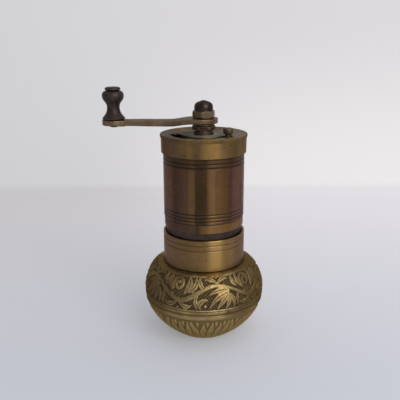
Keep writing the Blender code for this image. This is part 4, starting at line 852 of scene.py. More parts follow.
# The rows lie closer together in the two bands. The relief moves each point along the surface's normal.
def makeBulb(s):
    outline, distance = bulbOutline(s)
    gap = 0.0002  # the closer rows start and end this far outside a band
    (lowFoot, lowTop), (upFoot, upTop) = s["lowerBand"], s["upperBand"]
    stops = (0.0, lowFoot - gap, lowTop + gap, upFoot - gap, upTop + gap, distance[-1])
    stretches = zip(stops, stops[1:], (6, 38, 34, 52, 10))
    rows = [np.linspace(start, end, count, endpoint=end == stops[-1]) for start, end, count in stretches]
    rows = np.concatenate(rows)
    radius = np.interp(rows, distance, outline[:, 0])
    height = np.interp(rows, distance, outline[:, 1])
    tangent = np.column_stack((np.gradient(radius, rows), np.gradient(height, rows)))
    tangent /= np.linalg.norm(tangent, axis=1)[:, None]
    angle = fullTurn(s["columns"])
    relief, raised = bulbRelief(s, rows, radius, angle)
    fade = smoothStep(distance[-1] - rows, 0.0, 0.0008) * smoothStep(rows, 0.0, 0.002)
    relief = relief * fade[:, None]
    inner = bulbInside(s, outline)
    spread = np.ones((len(inner), len(angle)))
    reach = np.vstack((radius[:, None] + tangent[:, 1:2] * relief, inner[:, 0:1] * spread))
    heights = np.vstack((height[:, None] - tangent[:, 0:1] * relief, inner[:, 1:2] * spread))
    mesh = meshFromGrid("bulbCasting", roundGrid(reach, heights, angle))
    setValues(mesh, "raised", np.vstack((raised, s["insideRaised"] * spread)))
    rise = np.concatenate((rows, np.zeros(len(inner)))) * 1000.0
    setValues(mesh, "rise", np.repeat(rise, len(angle)))
    addPiece("bulbCasting", mesh, "cup", castBrass("castBrass", s), "cup_bulb", 60.0)


# Lip, ledge and throat, then down the inside of the wall to the base plate's seat
def bulbInside(s, outline):
    picks = outline[np.linspace(0, len(outline) - 1, 9).astype(int)]
    tangent = np.gradient(picks, axis=0)
    tangent /= np.linalg.norm(tangent, axis=1)[:, None]
    wall = (picks + s["wall"] * np.column_stack((-tangent[:, 1], tangent[:, 0])))[::-1]
    top = (
        (s["lipRadius"], s["shoulderHeight"]),
        (s["lipRadius"], s["ledgeHeight"]),
        (s["throatRadius"], s["ledgeHeight"]),
        (s["throatRadius"], s["shoulderHeight"] - s["wall"]),
    )
    floor = ((wall[-1, 0], s["baseLip"]), (s["baseHole"], s["baseLip"]), (s["baseHole"], 0.0))
    return np.vstack((top, wall, floor))


# Cast brass: tarnished faces over a dark hatched ground. In a few zones round the bulb the faces are brighter
# and bright at their edges, with brown and olive patina outside them. The zone at the front is a painted
# highlight, with painted shade in the patina beside it; the zones at the back are rubbed wear.
def castBrass(name, s):
    material, inputs, place = newMaterial(name)
    raised, rise, wear, dirt = (attribute(place, label) for label in ("raised", "rise", "wear", "dirt"))
    litAndRubbedZone = 0.0
    for middle, half, soft in s["litAndRubbedZones"]:
        litAndRubbedZone = maths("MAXIMUM", stripeMask(place, middle, half, soft, s["litAndRubbedWaver"]), litAndRubbedZone)
    litAndRubbedZone = held(litAndRubbedZone + stretch(noise(place, 75.0, 5.0, 0.6), 0.3, 0.7, -0.35, 0.35) * 0.7)

    faces = useGroup("tarnish", place, s["clean"], s["tarnished"], s["dark"], *s["faceCloud"])
    dull = useGroup("tarnish", place, s["rosy"], s["patina"], s["dark"], *s["dullCloud"])
    # Outside the zones the faces turn to the dull patina colour, which beside the front zone is painted shade
    # on the bulb's sides
    faces = mixColours(stretch(litAndRubbedZone, 0.0, 0.9, 0.12, 1.0), dull, faces)
    # The lower band's faces and ground are painted lighter, and its hollows less dark: a painted reflection
    # of the pale floor below it.
    lowTop = s["lowerBand"][1] * 1000.0
    inLowBand = stretch(rise, lowTop + 0.5, lowTop - 0.5)
    faces = mixColours(inLowBand * 0.75, faces, s["clean"])
    hatch = useGroup("hatch", place, rise, float(s["hatchRound"]), s["hatchPitch"] * 1000.0)
    ground = mixColours(hatch, tuple(1.5 * part for part in s["patina"]), s["dark"])
    ground = mixColours(stretch(noise(place, s["grimeScale"]), 0.35, 0.65) * 0.5, ground, s["dark"])
    ground = mixColours(inLowBand * 0.65, ground, s["tarnished"])
    level = stretch(raised, 0.25, 0.85)
    colour = mixColours(level, ground, faces)
    # Bright edges in the zones: a painted highlight at the front, rubbed wear at the back
    rubAndGlint = stretch(noise(place, s["rubAndGlintScale"]), 0.35, 0.65, 0.35, 1.0) * stretch(litAndRubbedZone, 0.0, 0.8, 0.15, 1.0)
    colour = mixColours(held(wear * level * rubAndGlint), colour, s["worn"])
    # A painted highlight along the belt's ridge, strongest in the front zone
    ridgeGlint = stretch(maths("ABSOLUTE", rise - s["beltRidge"][0] * 1000.0), 0.7, 0.2)
    colour = mixColours(ridgeGlint * (rubAndGlint * 0.75), colour, s["worn"])
    grimy = held(dirt * stretch(inLowBand, 0.0, 1.0, 0.75, 0.35))
    plug(inputs["Base Color"], mixColours(grimy, colour, s["dark"]))

    low = 1.0 - level
    rough = stretch(noise(place, 300.0, 5.0), 0.3, 0.7, *s["castRoughness"])
    rough = held(rough + low * s["groundRoughening"])
    plug(inputs["Roughness"], held(rough + stretch(litAndRubbedZone, 0.8, 0.0, 0.0, 0.12)))
    plug(inputs["Metallic"], held(1.0 - low * s["groundDulling"]))
    plug(inputs["Specular Tint"], s["edgeTint"])
    grain = noise(place, 1300.0, 5.0, 0.7) * 0.5 + noise(place, 420.0, 3.0, 0.6)
    addBump(inputs, grain - hatch * low, *s["castBump"])
    return material


makeBulb(bulbSettings)
print("bulb cast")

neckSettings = dict(
    bore=0.0192,
    grooves=((0.0105, 0.00028, 0.00036), (0.0131, 0.00028, 0.00036)),
    clean=(0.275, 0.162, 0.062),
    tarnished=(0.200, 0.116, 0.048),
    dark=(0.085, 0.050, 0.022),
    worn=(0.50, 0.34, 0.14),
    tones=dict(
        rosy=(0.19, 0.108, 0.068),
        gold=(0.475, 0.292, 0.094),
        brown=(0.165, 0.100, 0.044),
        olive=(0.20, 0.145, 0.050),
        streak=(0.22, 0.130, 0.055),
    ),
    streak=(7.0, 22.0, 0.16, 3.0, 0.30),
    # Within about 60 degrees of the front these stripes are painted light and shade: the gold ones a painted
    # highlight, the rosy and brown ones on the left painted shade, the others near the front painted
    # reflection. Further round they are tone streaks.
    toneAndPaintedLightStripes=(  # tone, degrees to the right of the front, half width, softness, amount
        ("rosy", -58.0, 22.0, 8.0, 0.80), ("brown", -30.0, 12.0, 7.0, 0.50),
        ("gold", 34.0, 14.0, 8.0, 0.25), ("gold", 16.5, 10.0, 6.0, 0.80),
        ("brown", 27.0, 3.0, 2.0, 0.25), ("rosy", 62.0, 17.0, 7.0, 0.80), ("gold", 98.0, 7.0, 4.0, 0.60),
        ("brown", 121.0, 9.0, 5.0, 0.60), ("rosy", 150.0, 12.0, 6.0, 0.60), ("gold", 176.0, 5.0, 3.0, 0.50),
        ("brown", -156.0, 9.0, 5.0, 0.60), ("rosy", -128.0, 10.0, 6.0, 0.60),
        ("gold", -100.0, 4.0, 3.0, 0.50),
    ),
    bands=(("olive", 0.0385, 0.0402, 0.0010, 0.65),),
    balance=0.52, blotchScale=60.0, spots=0.35, wear=0.25, dirt=0.80,
    roughness=(0.27, 0.42), brushed=0.72, marks=5200.0, markShade=0.12, markBump=0.35, bump=0.22,
)


# Neck: a turned tube with V grooves near its rim
def makeNeck(s):
    low, high = nodeBox("cup_neck")
    radius = high[0]
    grooves = [(low[2] + up, depth, half) for up, depth, half in s["grooves"]]
    corners = [(s["bore"], low[2], edgeRound), (radius, low[2], edgeRound)]
    corners += sideWithGrooves(radius, grooves)
    corners += [(radius, high[2], 0.0004), (s["bore"], high[2], 0.0004)]
    finish = wornMetal("neckBrass", s)
    piece = turnedPiece("neckTube", corners, "cup", finish, "cup_neck", 192)
    markGrooves(piece.data, grooves, s["bore"] + 0.0003)


makeNeck(neckSettings)


# Barrel, the dark sleeve under it and the cap

barrelSettings = dict(
    bore=0.0192,
    bandHeight=0.0045,
    bandStep=0.00025,
    lowGrooves=((0.0061, 0.00035, 0.00046), (0.0077, 0.00035, 0.00046), (0.0094, 0.00035, 0.00046)),
    capEdge=0.0365,
    highGrooves=((0.0026, 0.00035, 0.00050), (0.0045, 0.00040, 0.00055)),
    clean=(0.150, 0.078, 0.042),
    tarnished=(0.095, 0.046, 0.030),
    dark=(0.020, 0.012, 0.010),
    worn=(0.34, 0.22, 0.10),
    tones=dict(
        darkRed=(0.086, 0.049, 0.035),
        red=(0.145, 0.076, 0.045),
        line=(0.310, 0.190, 0.060),
        olive=(0.053, 0.033, 0.0115),
        tan=(0.205, 0.120, 0.040),
        brown=(0.150, 0.078, 0.025),
        deep=(0.110, 0.050, 0.029),
        rosy=(0.180, 0.090, 0.066),
        orange=(0.300, 0.155, 0.058),
        shade=(0.030, 0.020, 0.015),
        streak=(0.100, 0.056, 0.034),
    ),
    streak=(9.0, 14.0, 0.16, 7.3, 0.35),
    # Within about 60 degrees of the front these stripes are painted reflections and shade: the thin line and
    # tan stripes painted highlights, the olive one a painted dark reflection, the dark red, shade and red
    # ones on the left painted shade. Further round they are tone streaks.
    toneAndPaintedLightStripes=(  # tone, degrees to the right of the front, half width, softness, amount
        ("rosy", -57.0, 8.0, 4.0, 0.60), ("darkRed", -38.0, 11.0, 5.0, 0.80),
        ("shade", -43.0, 4.0, 3.0, 0.35), ("red", -25.0, 6.0, 4.0, 0.65),
        ("line", -16.4, 5.0, 1.4, 0.38), ("olive", -4.5, 8.2, 1.4, 0.88), ("tan", 11.2, 5.0, 3.2, 0.75),
        ("brown", 25.3, 9.2, 3.0, 0.85), ("deep", 39.2, 3.3, 2.2, 0.75), ("rosy", 51.0, 8.5, 3.5, 0.80),
        ("olive", 84.0, 9.0, 4.0, 0.60), ("brown", 108.0, 12.0, 4.0, 0.70),
        ("darkRed", 132.0, 8.0, 3.0, 0.80),
        ("tan", 149.0, 4.0, 1.5, 0.60), ("red", 170.0, 12.0, 3.0, 0.60), ("olive", -162.0, 7.0, 2.0, 0.70),
        ("brown", -140.0, 10.0, 3.0, 0.60), ("deep", -118.0, 6.0, 2.0, 0.70),
        ("tan", -101.0, 3.0, 1.2, 0.50),
        ("red", -84.0, 10.0, 3.0, 0.60),
    ),
    bands=(
        # The first two bands paint light and shade on the set-in band at the foot: orange on its right,
        # toward the lights, and dark red on its left.
        ("orange", 0.0583, 0.0625, 0.0002, 0.65, 36.0, 42.0, 5.0),
        ("darkRed", 0.0583, 0.0625, 0.0002, 0.80, -36.0, 26.0, 5.0),
        # The last three bands are the cap's painted shadow on the barrel: darker towards the top, darkest in
        # a line just under the skirt.
        ("deep", 0.0840, 0.0960, 0.0050, 0.25),
        ("olive", 0.0893, 0.0950, 0.0004, 0.50),
        ("shade", 0.0940, 0.0952, 0.0003, 0.75),
    ),
    balance=0.5, blotchScale=48.0, spots=0.45, wear=0.45, dirt=0.95,
    roughness=(0.24, 0.36), brushed=0.72, marks=4200.0, markShade=0.10, markBump=0.25, bump=0.20,
)


# Barrel: a turned tube, set in a little at its foot, with V grooves near both ends
def makeBarrel(s):
    low, high = nodeBox("barrel")
    radius = high[0]
    bottom = low[2]
    band = radius - s["bandStep"]
    bandTop = bottom + s["bandHeight"]
    grooves = [(bottom + up, depth, half) for up, depth, half in s["lowGrooves"]]
    grooves += [(bottom + s["capEdge"] - down, depth, half) for down, depth, half in s["highGrooves"]]
    corners = [
        (s["bore"], bottom, edgeRound),
        (band, bottom, 0.0003),
        (band, bandTop - 0.0003, 0.0001),
        (band - 0.0001, bandTop - 0.0001, 0.0001),
        (radius, bandTop + 0.0003, 0.0001),
        *sideWithGrooves(radius, grooves),
        (radius, high[2], edgeRound),
        (s["bore"], high[2], edgeRound),
    ]
    finish = wornMetal("barrelBrass", s)
    piece = turnedPiece("barrelTube", corners, "mill", finish, "barrel", 192)
    grooves.append((bandTop - 0.00005, 0.0, 0.00040))
    markGrooves(piece.data, grooves, s["bore"] + 0.0002)


makeBarrel(barrelSettings)

sleeveSettings = dict(
    bore=0.0179,
    clean=(0.100, 0.070, 0.058),
    tarnished=(0.060, 0.042, 0.036),
    dark=(0.012, 0.009, 0.008),
    worn=(0.16, 0.12, 0.09),
    balance=0.45, spots=0.3, roughness=(0.34, 0.5), marks=3000.0, markShade=0.14, scratches=0.6,
)


# Sleeve: a plain turned tube
def makeSleeve(s):
    low, high = nodeBox("spigot_sleeve")
    corners = [(s["bore"], low[2], edgeRound), (high[0], low[2], 0.0003)]
    corners += [(high[0], high[2], edgeRound), (s["bore"], high[2], edgeRound)]
    finish = wornMetal("sleeveBrass", s)
    turnedPiece("sleeveTube", corners, "mill", finish, "spigot_sleeve", 160)


makeSleeve(sleeveSettings)

capSettings = dict(
    bore=0.0203,
    skirtWall=0.00055,
    skirtSwell=0.00015,
    plate=0.0008,
    rimHeight=0.0012,
    hole=0.0043,
    milledMarks=134,
    milledDepth=0.00032,
    slotInner=0.0106,
    slotOuter=0.0163,
    slotOpenEnd=math.radians(191.0),
    slotKnobEnd=math.radians(325.0),
    slotBevel=0.00022,
    dish=0.0005,
    dishRadius=0.0062,
    dishEdge=0.0196,
    clean=(0.245, 0.150, 0.056),
    tarnished=(0.168, 0.100, 0.044),
    dark=(0.032, 0.019, 0.009),
    worn=(0.36, 0.25, 0.12),
    tones=dict(
        dull=(0.128, 0.078, 0.055),
        olive=(0.150, 0.100, 0.030),
        gold=(0.300, 0.182, 0.054),
        rosy=(0.190, 0.130, 0.095),
        cover=(0.150, 0.112, 0.082),
        verdigris=(0.13, 0.175, 0.155),
        pale=(0.36, 0.33, 0.29),
        streak=(0.11, 0.072, 0.034),
    ),
    streak=(5.0, 30.0, 0.14, 2.2, 0.45),
    rings=(("verdigris", 0.0082, 0.0042, 0.58, 0.75), ("pale", 0.0061, 0.0014, 0.36, 0.80)),
    # Toward the front these stripes are painted light and shade, the gold ones painted highlights and the
    # dull one on the left painted shade; further round they are tone streaks.
    toneAndPaintedLightStripes=(  # tone, degrees to the right of the front, half width, softness, amount
        ("dull", -53.0, 18.0, 8.0, 0.85), ("gold", -19.0, 4.0, 4.0, 0.50),
        ("gold", 9.0, 12.0, 5.0, 0.80), ("gold", 30.0, 6.0, 4.0, 0.25),
        ("olive", 44.0, 7.0, 4.0, 0.60), ("rosy", 61.0, 11.0, 6.0, 0.70), ("olive", 96.0, 11.0, 5.0, 0.60),
        ("gold", 125.0, 6.0, 3.0, 0.50), ("dull", 150.0, 12.0, 6.0, 0.60), ("rosy", -170.0, 9.0, 5.0, 0.50),
        ("gold", -139.0, 6.0, 3.0, 0.50), ("olive", -112.0, 11.0, 5.0, 0.60),
    ),
    edgeTint=(0.50, 0.46, 0.42),
    balance=0.5, blotchScale=70.0, spots=0.65, wear=0.35, dirt=1.0, scratches=0.5,
    roughness=(0.30, 0.46), brushed=0.60, marks=4600.0, markShade=0.10, markBump=0.25, bump=0.25,
)


# (cos, sin) of each angle
def pointsAt(angle):
    return np.column_stack((np.cos(angle), np.sin(angle)))


# Closed line round the slot with its outward normals: the outer arc, the half circle at the stud's end,
# the inner arc back, and the half circle at the open end
def slotLine(s, steps=64):
    middle = (s["slotInner"] + s["slotOuter"]) / 2
    half = (s["slotOuter"] - s["slotInner"]) / 2
    outer = pointsAt(np.linspace(s["slotOpenEnd"], s["slotKnobEnd"], steps))
    turn = np.linspace(0.0, np.pi, 18)[1:-1]
    knobEnd = pointsAt(s["slotKnobEnd"] + turn)
    openEnd = pointsAt(s["slotOpenEnd"] + np.pi + turn)
    line = (
        s["slotOuter"] * outer,
        middle * pointsAt([s["slotKnobEnd"]]) + half * knobEnd,
        s["slotInner"] * outer[::-1],
        middle * pointsAt([s["slotOpenEnd"]]) + half * openEnd,
    )
    return np.vstack(line), np.vstack((outer, knobEnd, -outer[::-1], openEnd))


# The cutter is the slot's line carried up through the plate, flaring at the top edge for a small bevel
def slotCutter(s, under, top):
    line, normals = slotLine(s)
    rise = ((0.0, under), (0.0, top - s["slotBevel"]), (s["slotBevel"] * 2, top + s["slotBevel"]))
    return makeCutter([np.column_stack((line + normals * out, np.full(len(line), z))) for out, z in rise])


# The lid is a turned outline whose rim is pressed in at each milled mark
def makeCap(s):
    low, high = nodeBox("cap")
    top = high[2]
    rim = high[0]
    skirtLow = s["bore"] + s["skirtWall"]
    skirtHigh = skirtLow + s["skirtSwell"]
    rimFoot = top - s["rimHeight"]
    corners = [
        (s["bore"], low[2], 0.0001),
        (skirtLow, low[2], 0.0002),
        (skirtHigh, rimFoot - 0.00034, 0.0001),
        (rim, rimFoot, 0.0002),
        (rim, top, 0.0003),
        (s["dishEdge"], top - 0.00003, 0.0006),
        (s["dishRadius"], top - s["dish"], 0.0006),
        (s["hole"], top - s["dish"], 0.0001),
        (s["hole"], top - s["plate"], 0.0001),
        (s["bore"], top - s["plate"], 0.0001),
    ]
    outline = supported(roundedOutline(corners), longest=0.0022)
    columns = s["milledMarks"] * 6
    grid = turnedGrid(outline, columns)
    angle = fullTurn(columns)
    valley = (0.5 + 0.5 * np.cos(s["milledMarks"] * angle)) ** 2
    valley = valley * (0.72 + 0.28 * np.sin(7 * angle + 1.0) * np.sin(11 * angle))
    onRim = smoothStep(outline[:, 0], skirtHigh - 0.0001, rim - 0.00012)
    onRim = onRim * smoothStep(outline[:, 1], rimFoot - 0.0003, rimFoot + 0.0001)
    shrink = 1.0 - s["milledDepth"] / rim * onRim[:, None] * valley[None, :]
    grid[..., :2] *= shrink[..., None]
    mesh = meshFromGrid("capLid", grid)
    setValues(mesh, "groove", 0.85 * onRim[:, None] * valley[None, :])
    onTop = (outline[:, 0] < rim - 0.0005) & (outline[:, 1] > top - s["dish"] - 0.0001)
    setValues(mesh, "cover", np.repeat(onTop, columns))
    piece = addPiece("capLid", mesh, "mill", wornMetal("capBrass", s), "cap", mark=False)
    cutOut(piece, slotCutter(s, top - 2.5 * s["plate"], top - s["dish"] / 2))


makeCap(capSettings)
print("barrel and cap turned")


# Shutter under the slot

shutterSettings = dict(
    hole=0.0043,
    studHole=0.00105,
    bevel=0.00012,
    cutFromAxis=0.0098,
    cutTowards=math.radians(206.0),
    clean=(0.30, 0.24, 0.11),
    tarnished=(0.16, 0.14, 0.085),
    dark=(0.030, 0.026, 0.020),
    worn=(0.46, 0.38, 0.20),
    balance=0.5, spots=0.5, scratches=0.7,
    tones=dict(verdigris=(0.16, 0.25, 0.19)),
    rings=(("verdigris", 0.012, 0.006, 0.55, 0.8),),
    roughness=(0.34, 0.5),
)


# The disc's rim radius at each angle: the full radius, or the straight cut where that is nearer.
# The section runs up the hole, out over the top, down the rim and back underneath, with small bevels.
def makeShutterDisc(s):
    low, high = nodeBox("shutter_disc")
    angle = fullTurn(360)
    facing = np.cos(angle - s["cutTowards"])
    toCut = np.where(facing > 0.05, s["cutFromAxis"] / np.maximum(facing, 0.05), high[0])
    rim = np.minimum(high[0], toCut)
    hole = np.full(len(angle), s["hole"])
    bevel = s["bevel"]
    bottom, top = low[2], high[2]
    section = (  # edge, step out from it, height
        (hole, 0.0, bottom + bevel), (hole, 0.0, top - bevel), (hole, bevel, top),
        (rim, -bevel, top), (rim, 0.0, top - bevel), (rim, 0.0, bottom + bevel),
        (rim, -bevel, bottom), (hole, bevel, bottom),
    )
    reach = np.array([edge + step for edge, step, _ in section])
    heights = np.array([[height] for _, _, height in section])
    mesh = meshFromGrid("shutterPlate", roundGrid(reach, heights, angle))
    finish = wornMetal("shutterBrass", s)
    piece = addPiece("shutterPlate", mesh, "shutter", finish, "shutter_disc", 40.0, mark=False)
    cutOut(piece, roundCutter(s["studHole"], middleOf("shutter_knob"), top))


makeShutterDisc(shutterSettings)

bronzeLook = dict(
    clean=(0.235, 0.165, 0.105),
    tarnished=(0.105, 0.068, 0.048),
    dark=(0.020, 0.014, 0.011),
    worn=(0.42, 0.31, 0.19),
    balance=0.5, blotchScale=180.0, spots=0.6, wear=0.7, dirt=0.9, scratches=0.5,
    roughness=(0.34, 0.52), marks=6000.0, markShade=0.06, markBump=0.15, pitScale=1100.0, pitBump=0.9,
    bump=0.4,
)

shutterKnobSettings = dict(
    stem=0.0015,
    tail=0.0009,
    neck=0.0018,
    flare=0.0003,
    headHeight=0.0029,
)


# Stud: a turned tail, stem, neck and flat head on its own axis
def makeShutterKnob(s):
    low, high = nodeBox("shutter_knob")
    head = (high[0] - low[0]) / 2
    step = nodeBox("shutter_disc")[1][2] + 0.0003
    headFoot = high[2] - s["headHeight"]
    corners = [
        (0.0, low[2], 0.0),
        (s["tail"], low[2], 0.0001),
        (s["tail"], step, 0.0001),
        (s["stem"], step, 0.0002),
        (s["stem"], headFoot, 0.0003),
        (s["neck"], headFoot, 0.0002),
        (head, headFoot + s["flare"], 0.0003),
        (head, high[2] - 0.0004, 0.0003),
        (head - 0.0006, high[2] - 0.00005, 0.0003),
        (0.0, high[2], 0.0),
    ]
    look = bronzeLook | dict(clean=(0.13, 0.100, 0.050), worn=(0.32, 0.26, 0.14))
    turnedPiece(
        "shutterStud", corners, "shutter", wornMetal("studBronze", look), "shutter_knob", 64,
        solid=True, centre=middleOf("shutter_knob"), longest=0.0006)


makeShutterKnob(shutterKnobSettings)
print("shutter fitted")


# Stack at the foot of the arm: boss, lock nut, washer, arm and acorn nut

bronze = wornMetal("oldBronze", bronzeLook)


# Boss: a turned bush with a collar under the plate and a round boss on top of it
def makeCapBush(bore=0.0033, boreEnd=0.0037, collar=0.0040, collarFoot=0.1017):
    low, high = nodeBox("cap_bush")
    boss = high[0]
    seat = nodeBox("cap")[1][2] - capSettings["dish"] + 0.00005
    corners = [
        (bore, low[2], 0.0001),
        (boreEnd, low[2], 0.0001),
        (boreEnd, collarFoot, 0.0001),
        (collar, collarFoot, 0.0001),
        (collar, seat, 0.0001),
        (boss + 0.0002, seat, 0.0001),
        (boss, seat + 0.0003, 0.0002),
        (boss, high[2], 0.0003),
        (bore, high[2], 0.0001),
    ]
    look = bronzeLook | dict(
        clean=(0.105, 0.066, 0.048), tarnished=(0.060, 0.038, 0.029),
        tones=dict(verdigris=(0.16, 0.24, 0.20)), rings=(("verdigris", 0.0052, 0.0006, 0.6, 0.35),),
    )
    finish = wornMetal("bossBronze", look)
    turnedPiece("bossBush", corners, "mill", finish, "cap_bush", 96, longest=0.0008)


# Six-sided reach at each height: the nearest of the flats, their blunted corners and a round limit
def hexRadius(angle, limit, s, blunting=0.00013):
    aside = (angle - s["turn"] + np.pi / 6) % (np.pi / 3) - np.pi / 6
    corner = s["halfFlat"] / math.cos(math.pi / 6) - blunting
    reach = np.minimum(s["halfFlat"] / np.cos(aside), corner)
    return np.minimum(reach[None, :], limit[:, None])


# A nut's mesh: the bore's rows (radius, height), then six-sided rows within their limits
def nutMesh(name, bore, limits, s, closed):
    angle = fullTurn(180)
    bore = np.array(bore)
    inner = np.broadcast_to(bore[:, 0:1], (len(bore), len(angle)))
    reach = np.vstack((inner, hexRadius(angle, limits[:, 0], s)))
    heights = np.concatenate((bore[:, 1], limits[:, 1]))[:, None]
    return meshFromGrid(name, roundGrid(reach, heights, angle), closed)


# The chamfers' rows (limit, height): limits at steps over the bottom and under the top
def chamfered(bottom, top, s):
    rows = [(limit, bottom + step) for limit, step in s["lowSteps"]]
    return np.array(rows + [(limit, top - step) for limit, step in s["highSteps"]])


lockNutSettings = dict(  # each step is a round limit and how far from the end it lies
    turn=math.radians(30.0),
    halfFlat=0.0050,
    bore=0.0033,
    boreEdge=0.0002,
    lowSteps=((0.00495, 0.0), (0.00525, 0.00008), (0.0056, 0.0003), (0.0062, 0.0005)),
    highSteps=((0.0062, 0.0005), (0.0056, 0.0003), (0.00525, 0.00008), (0.00495, 0.0)),
)


# Lock nut: chamfered hexagon with a bore
def makeLockNut(s):
    low, high = nodeBox("lock_nut")
    bottom, top = low[2], high[2]
    wide = s["bore"] + s["boreEdge"]
    ends = (s["bore"], top - s["boreEdge"]), (s["bore"], bottom + s["boreEdge"])
    mesh = nutMesh("lockNut", ((wide, top), *ends, (wide, bottom)), chamfered(bottom, top, s), s, True)
    look = bronzeLook | dict(clean=(0.090, 0.060, 0.042), tarnished=(0.050, 0.032, 0.024))
    addPiece("lockNut", mesh, "crank", wornMetal("nutBronze", look), "lock_nut", 25.0)


# Washer: a thin turned ring
def makeArmWasher(bore=0.0033):
    low, high = nodeBox("arm_washer")
    corners = [(bore, low[2], 0.00008), (high[0], low[2], 0.00015)]
    corners += [(high[0], high[2], 0.00015), (bore, high[2], 0.00008)]
    turnedPiece("thinWasher", corners, "crank", bronze, "arm_washer", 96)


armSettings = dict(
    reach=0.0434,
    hubRadius=0.0069,
    eyeRadius=0.0056,
    halfAtHub=0.0046,
    halfAtEye=0.0037,
    flare=0.0022,
    flareEnd=0.0170,
    thickness=0.0023,
    swell=0.0003,
    eyeExtra=0.00025,
    slimming=0.0002,
    drop=0.0008,
    joggleStart=0.0058,
    joggleLength=0.0102,
    rise=0.0002,
    rounding=0.00042,
    hubHole=0.0026,
    eyeHole=0.0019,
    clean=(0.235, 0.160, 0.090),
    tarnished=(0.140, 0.086, 0.052),
    dark=(0.032, 0.020, 0.014),
    worn=(0.36, 0.27, 0.18),
    tones=dict(rosy=(0.26, 0.165, 0.125), green=(0.150, 0.135, 0.085)),
    patches=(("rosy", 170.0, 0.50, 0.60), ("green", 260.0, 0.54, 0.60)),
    balance=0.52, blotchScale=110.0, spots=0.55, wear=0.35, dirt=0.8, scratches=0.8,
    roughness=(0.34, 0.5), marks=900.0, markShade=0.02, markBump=0.0, pitScale=700.0, pitBump=0.8,
    bump=0.35,
)


# Arm: a rounded rectangle carried out along the bar. Its half width is the widest of the hub's circle,
# the tapering bar and the eye's circle, blended, and its height drops by a smooth step after the hub.
def makeArm(s):
    top = nodeBox("crank_arm")[1][2]
    reach = s["reach"]
    joggleEnd = s["joggleStart"] + s["joggleLength"]
    hub = s["hubRadius"] * np.cos(np.radians(np.linspace(178.0, 45.0, 30)))
    eye = reach + s["eyeRadius"] * np.cos(np.radians(np.linspace(135.0, 2.0, 30)))
    out = np.concatenate((hub, np.linspace(hub[-1], eye[0], 46)[1:-1], eye))
    bar = s["halfAtHub"] + (s["halfAtEye"] - s["halfAtHub"]) * np.clip(out / reach, 0.0, 1.0)
    bar = bar + s["flare"] * smoothStep(out, s["flareEnd"], 0.003)
    bar = np.where((out > 0.0) & (out < reach), bar, 0.0)
    hubHalf = np.sqrt(np.maximum(s["hubRadius"] ** 2 - out**2, 0.0))
    eyeHalf = np.sqrt(np.maximum(s["eyeRadius"] ** 2 - (out - reach) ** 2, 0.0))
    halfWidth = ((bar**10 + hubHalf**10 + eyeHalf**10) ** 0.1)[:, None]
    drop = s["drop"] * smoothStep(out, s["joggleStart"], joggleEnd)
    rise = s["rise"] * smoothStep(out, joggleEnd, reach - s["eyeRadius"])
    swell = smoothStep(out, s["joggleStart"], s["flareEnd"]) * smoothStep(out, reach, reach - 0.006)
    swell = s["swell"] * swell
    atEye = smoothStep(out, reach - 0.0064, reach - 0.0050)
    slim = smoothStep(out, s["flareEnd"] + 0.008, reach - 0.0075) * (1.0 - atEye)
    extra = swell + s["eyeExtra"] * atEye - s["slimming"] * slim
    halfThick = (s["thickness"] + extra)[:, None] / 2
    middle = top - s["thickness"] / 2 - drop + rise - swell - s["eyeExtra"] * atEye / 2
    turn = fullTurn(40)
    rounding = np.minimum(s["rounding"], halfWidth * 0.6)
    y = np.sign(np.cos(turn)) * (halfWidth - rounding) + rounding * np.cos(turn)
    z = middle[:, None] + np.sign(np.sin(turn)) * (halfThick - rounding) + rounding * np.sin(turn)
    grid = np.stack(np.broadcast_arrays(-out[:, None], y, z), axis=-1)
    mesh = meshFromGrid("armBar", grid, wrapRows=False, capEnds=True)
    finish = wornMetal("armBronze", s)
    piece = addPiece("armBar", mesh, "crank", finish, "crank_arm", 40.0, mark=False)
    cutOut(piece, squareCutter(s["hubHole"], top), roundCutter(s["eyeHole"], (-reach, 0.0), top))


# A square post through the piece, as roundCutter is a round one
def squareCutter(half, height, reach=0.01):
    square = np.array(((-half, -half), (half, -half), (half, half), (-half, half)))
    return makeCutter([np.column_stack((square, np.full(4, height + step))) for step in (-reach, reach)])


acornSettings = dict(
    turn=math.radians(-72.0),
    halfFlat=0.0050,
    hexHeight=0.0033,
    domeRadius=0.00455,
    domeSide=0.0014,
    fullness=0.8,
    tipRise=0.0004,
    tipRadius=0.0016,
    bore=0.0033,
    boreDepth=0.0058,
    lowSteps=((0.00495, 0.0), (0.00525, 0.00008), (0.0056, 0.0004), (0.0062, 0.0006)),
    highSteps=((0.0062, 0.0006), (0.0056, 0.00035), (0.00525, 0.0001), (0.0050, 0.0)),
    tip=((1.0, 0.00040), (0.70, 0.00024), (0.36, 0.00009), (0.15, 0.00002), (0.0, 0.0)),
    clean=(0.062, 0.046, 0.040),
    tarnished=(0.036, 0.026, 0.023),
    dark=(0.012, 0.009, 0.008),
    worn=(0.17, 0.13, 0.10),
    tones=dict(olive=(0.180, 0.136, 0.073)),
    bands=(("olive", 0.1111, 0.1146, 0.0002, 0.75),),
    balance=0.46, blotchScale=170.0, spots=0.5, wear=0.6, dirt=0.9, scratches=0.4,
    roughness=(0.25, 0.37), marks=5000.0, markShade=0.05, markBump=0.12, pitScale=900.0, pitBump=0.7,
    bump=0.3,
)


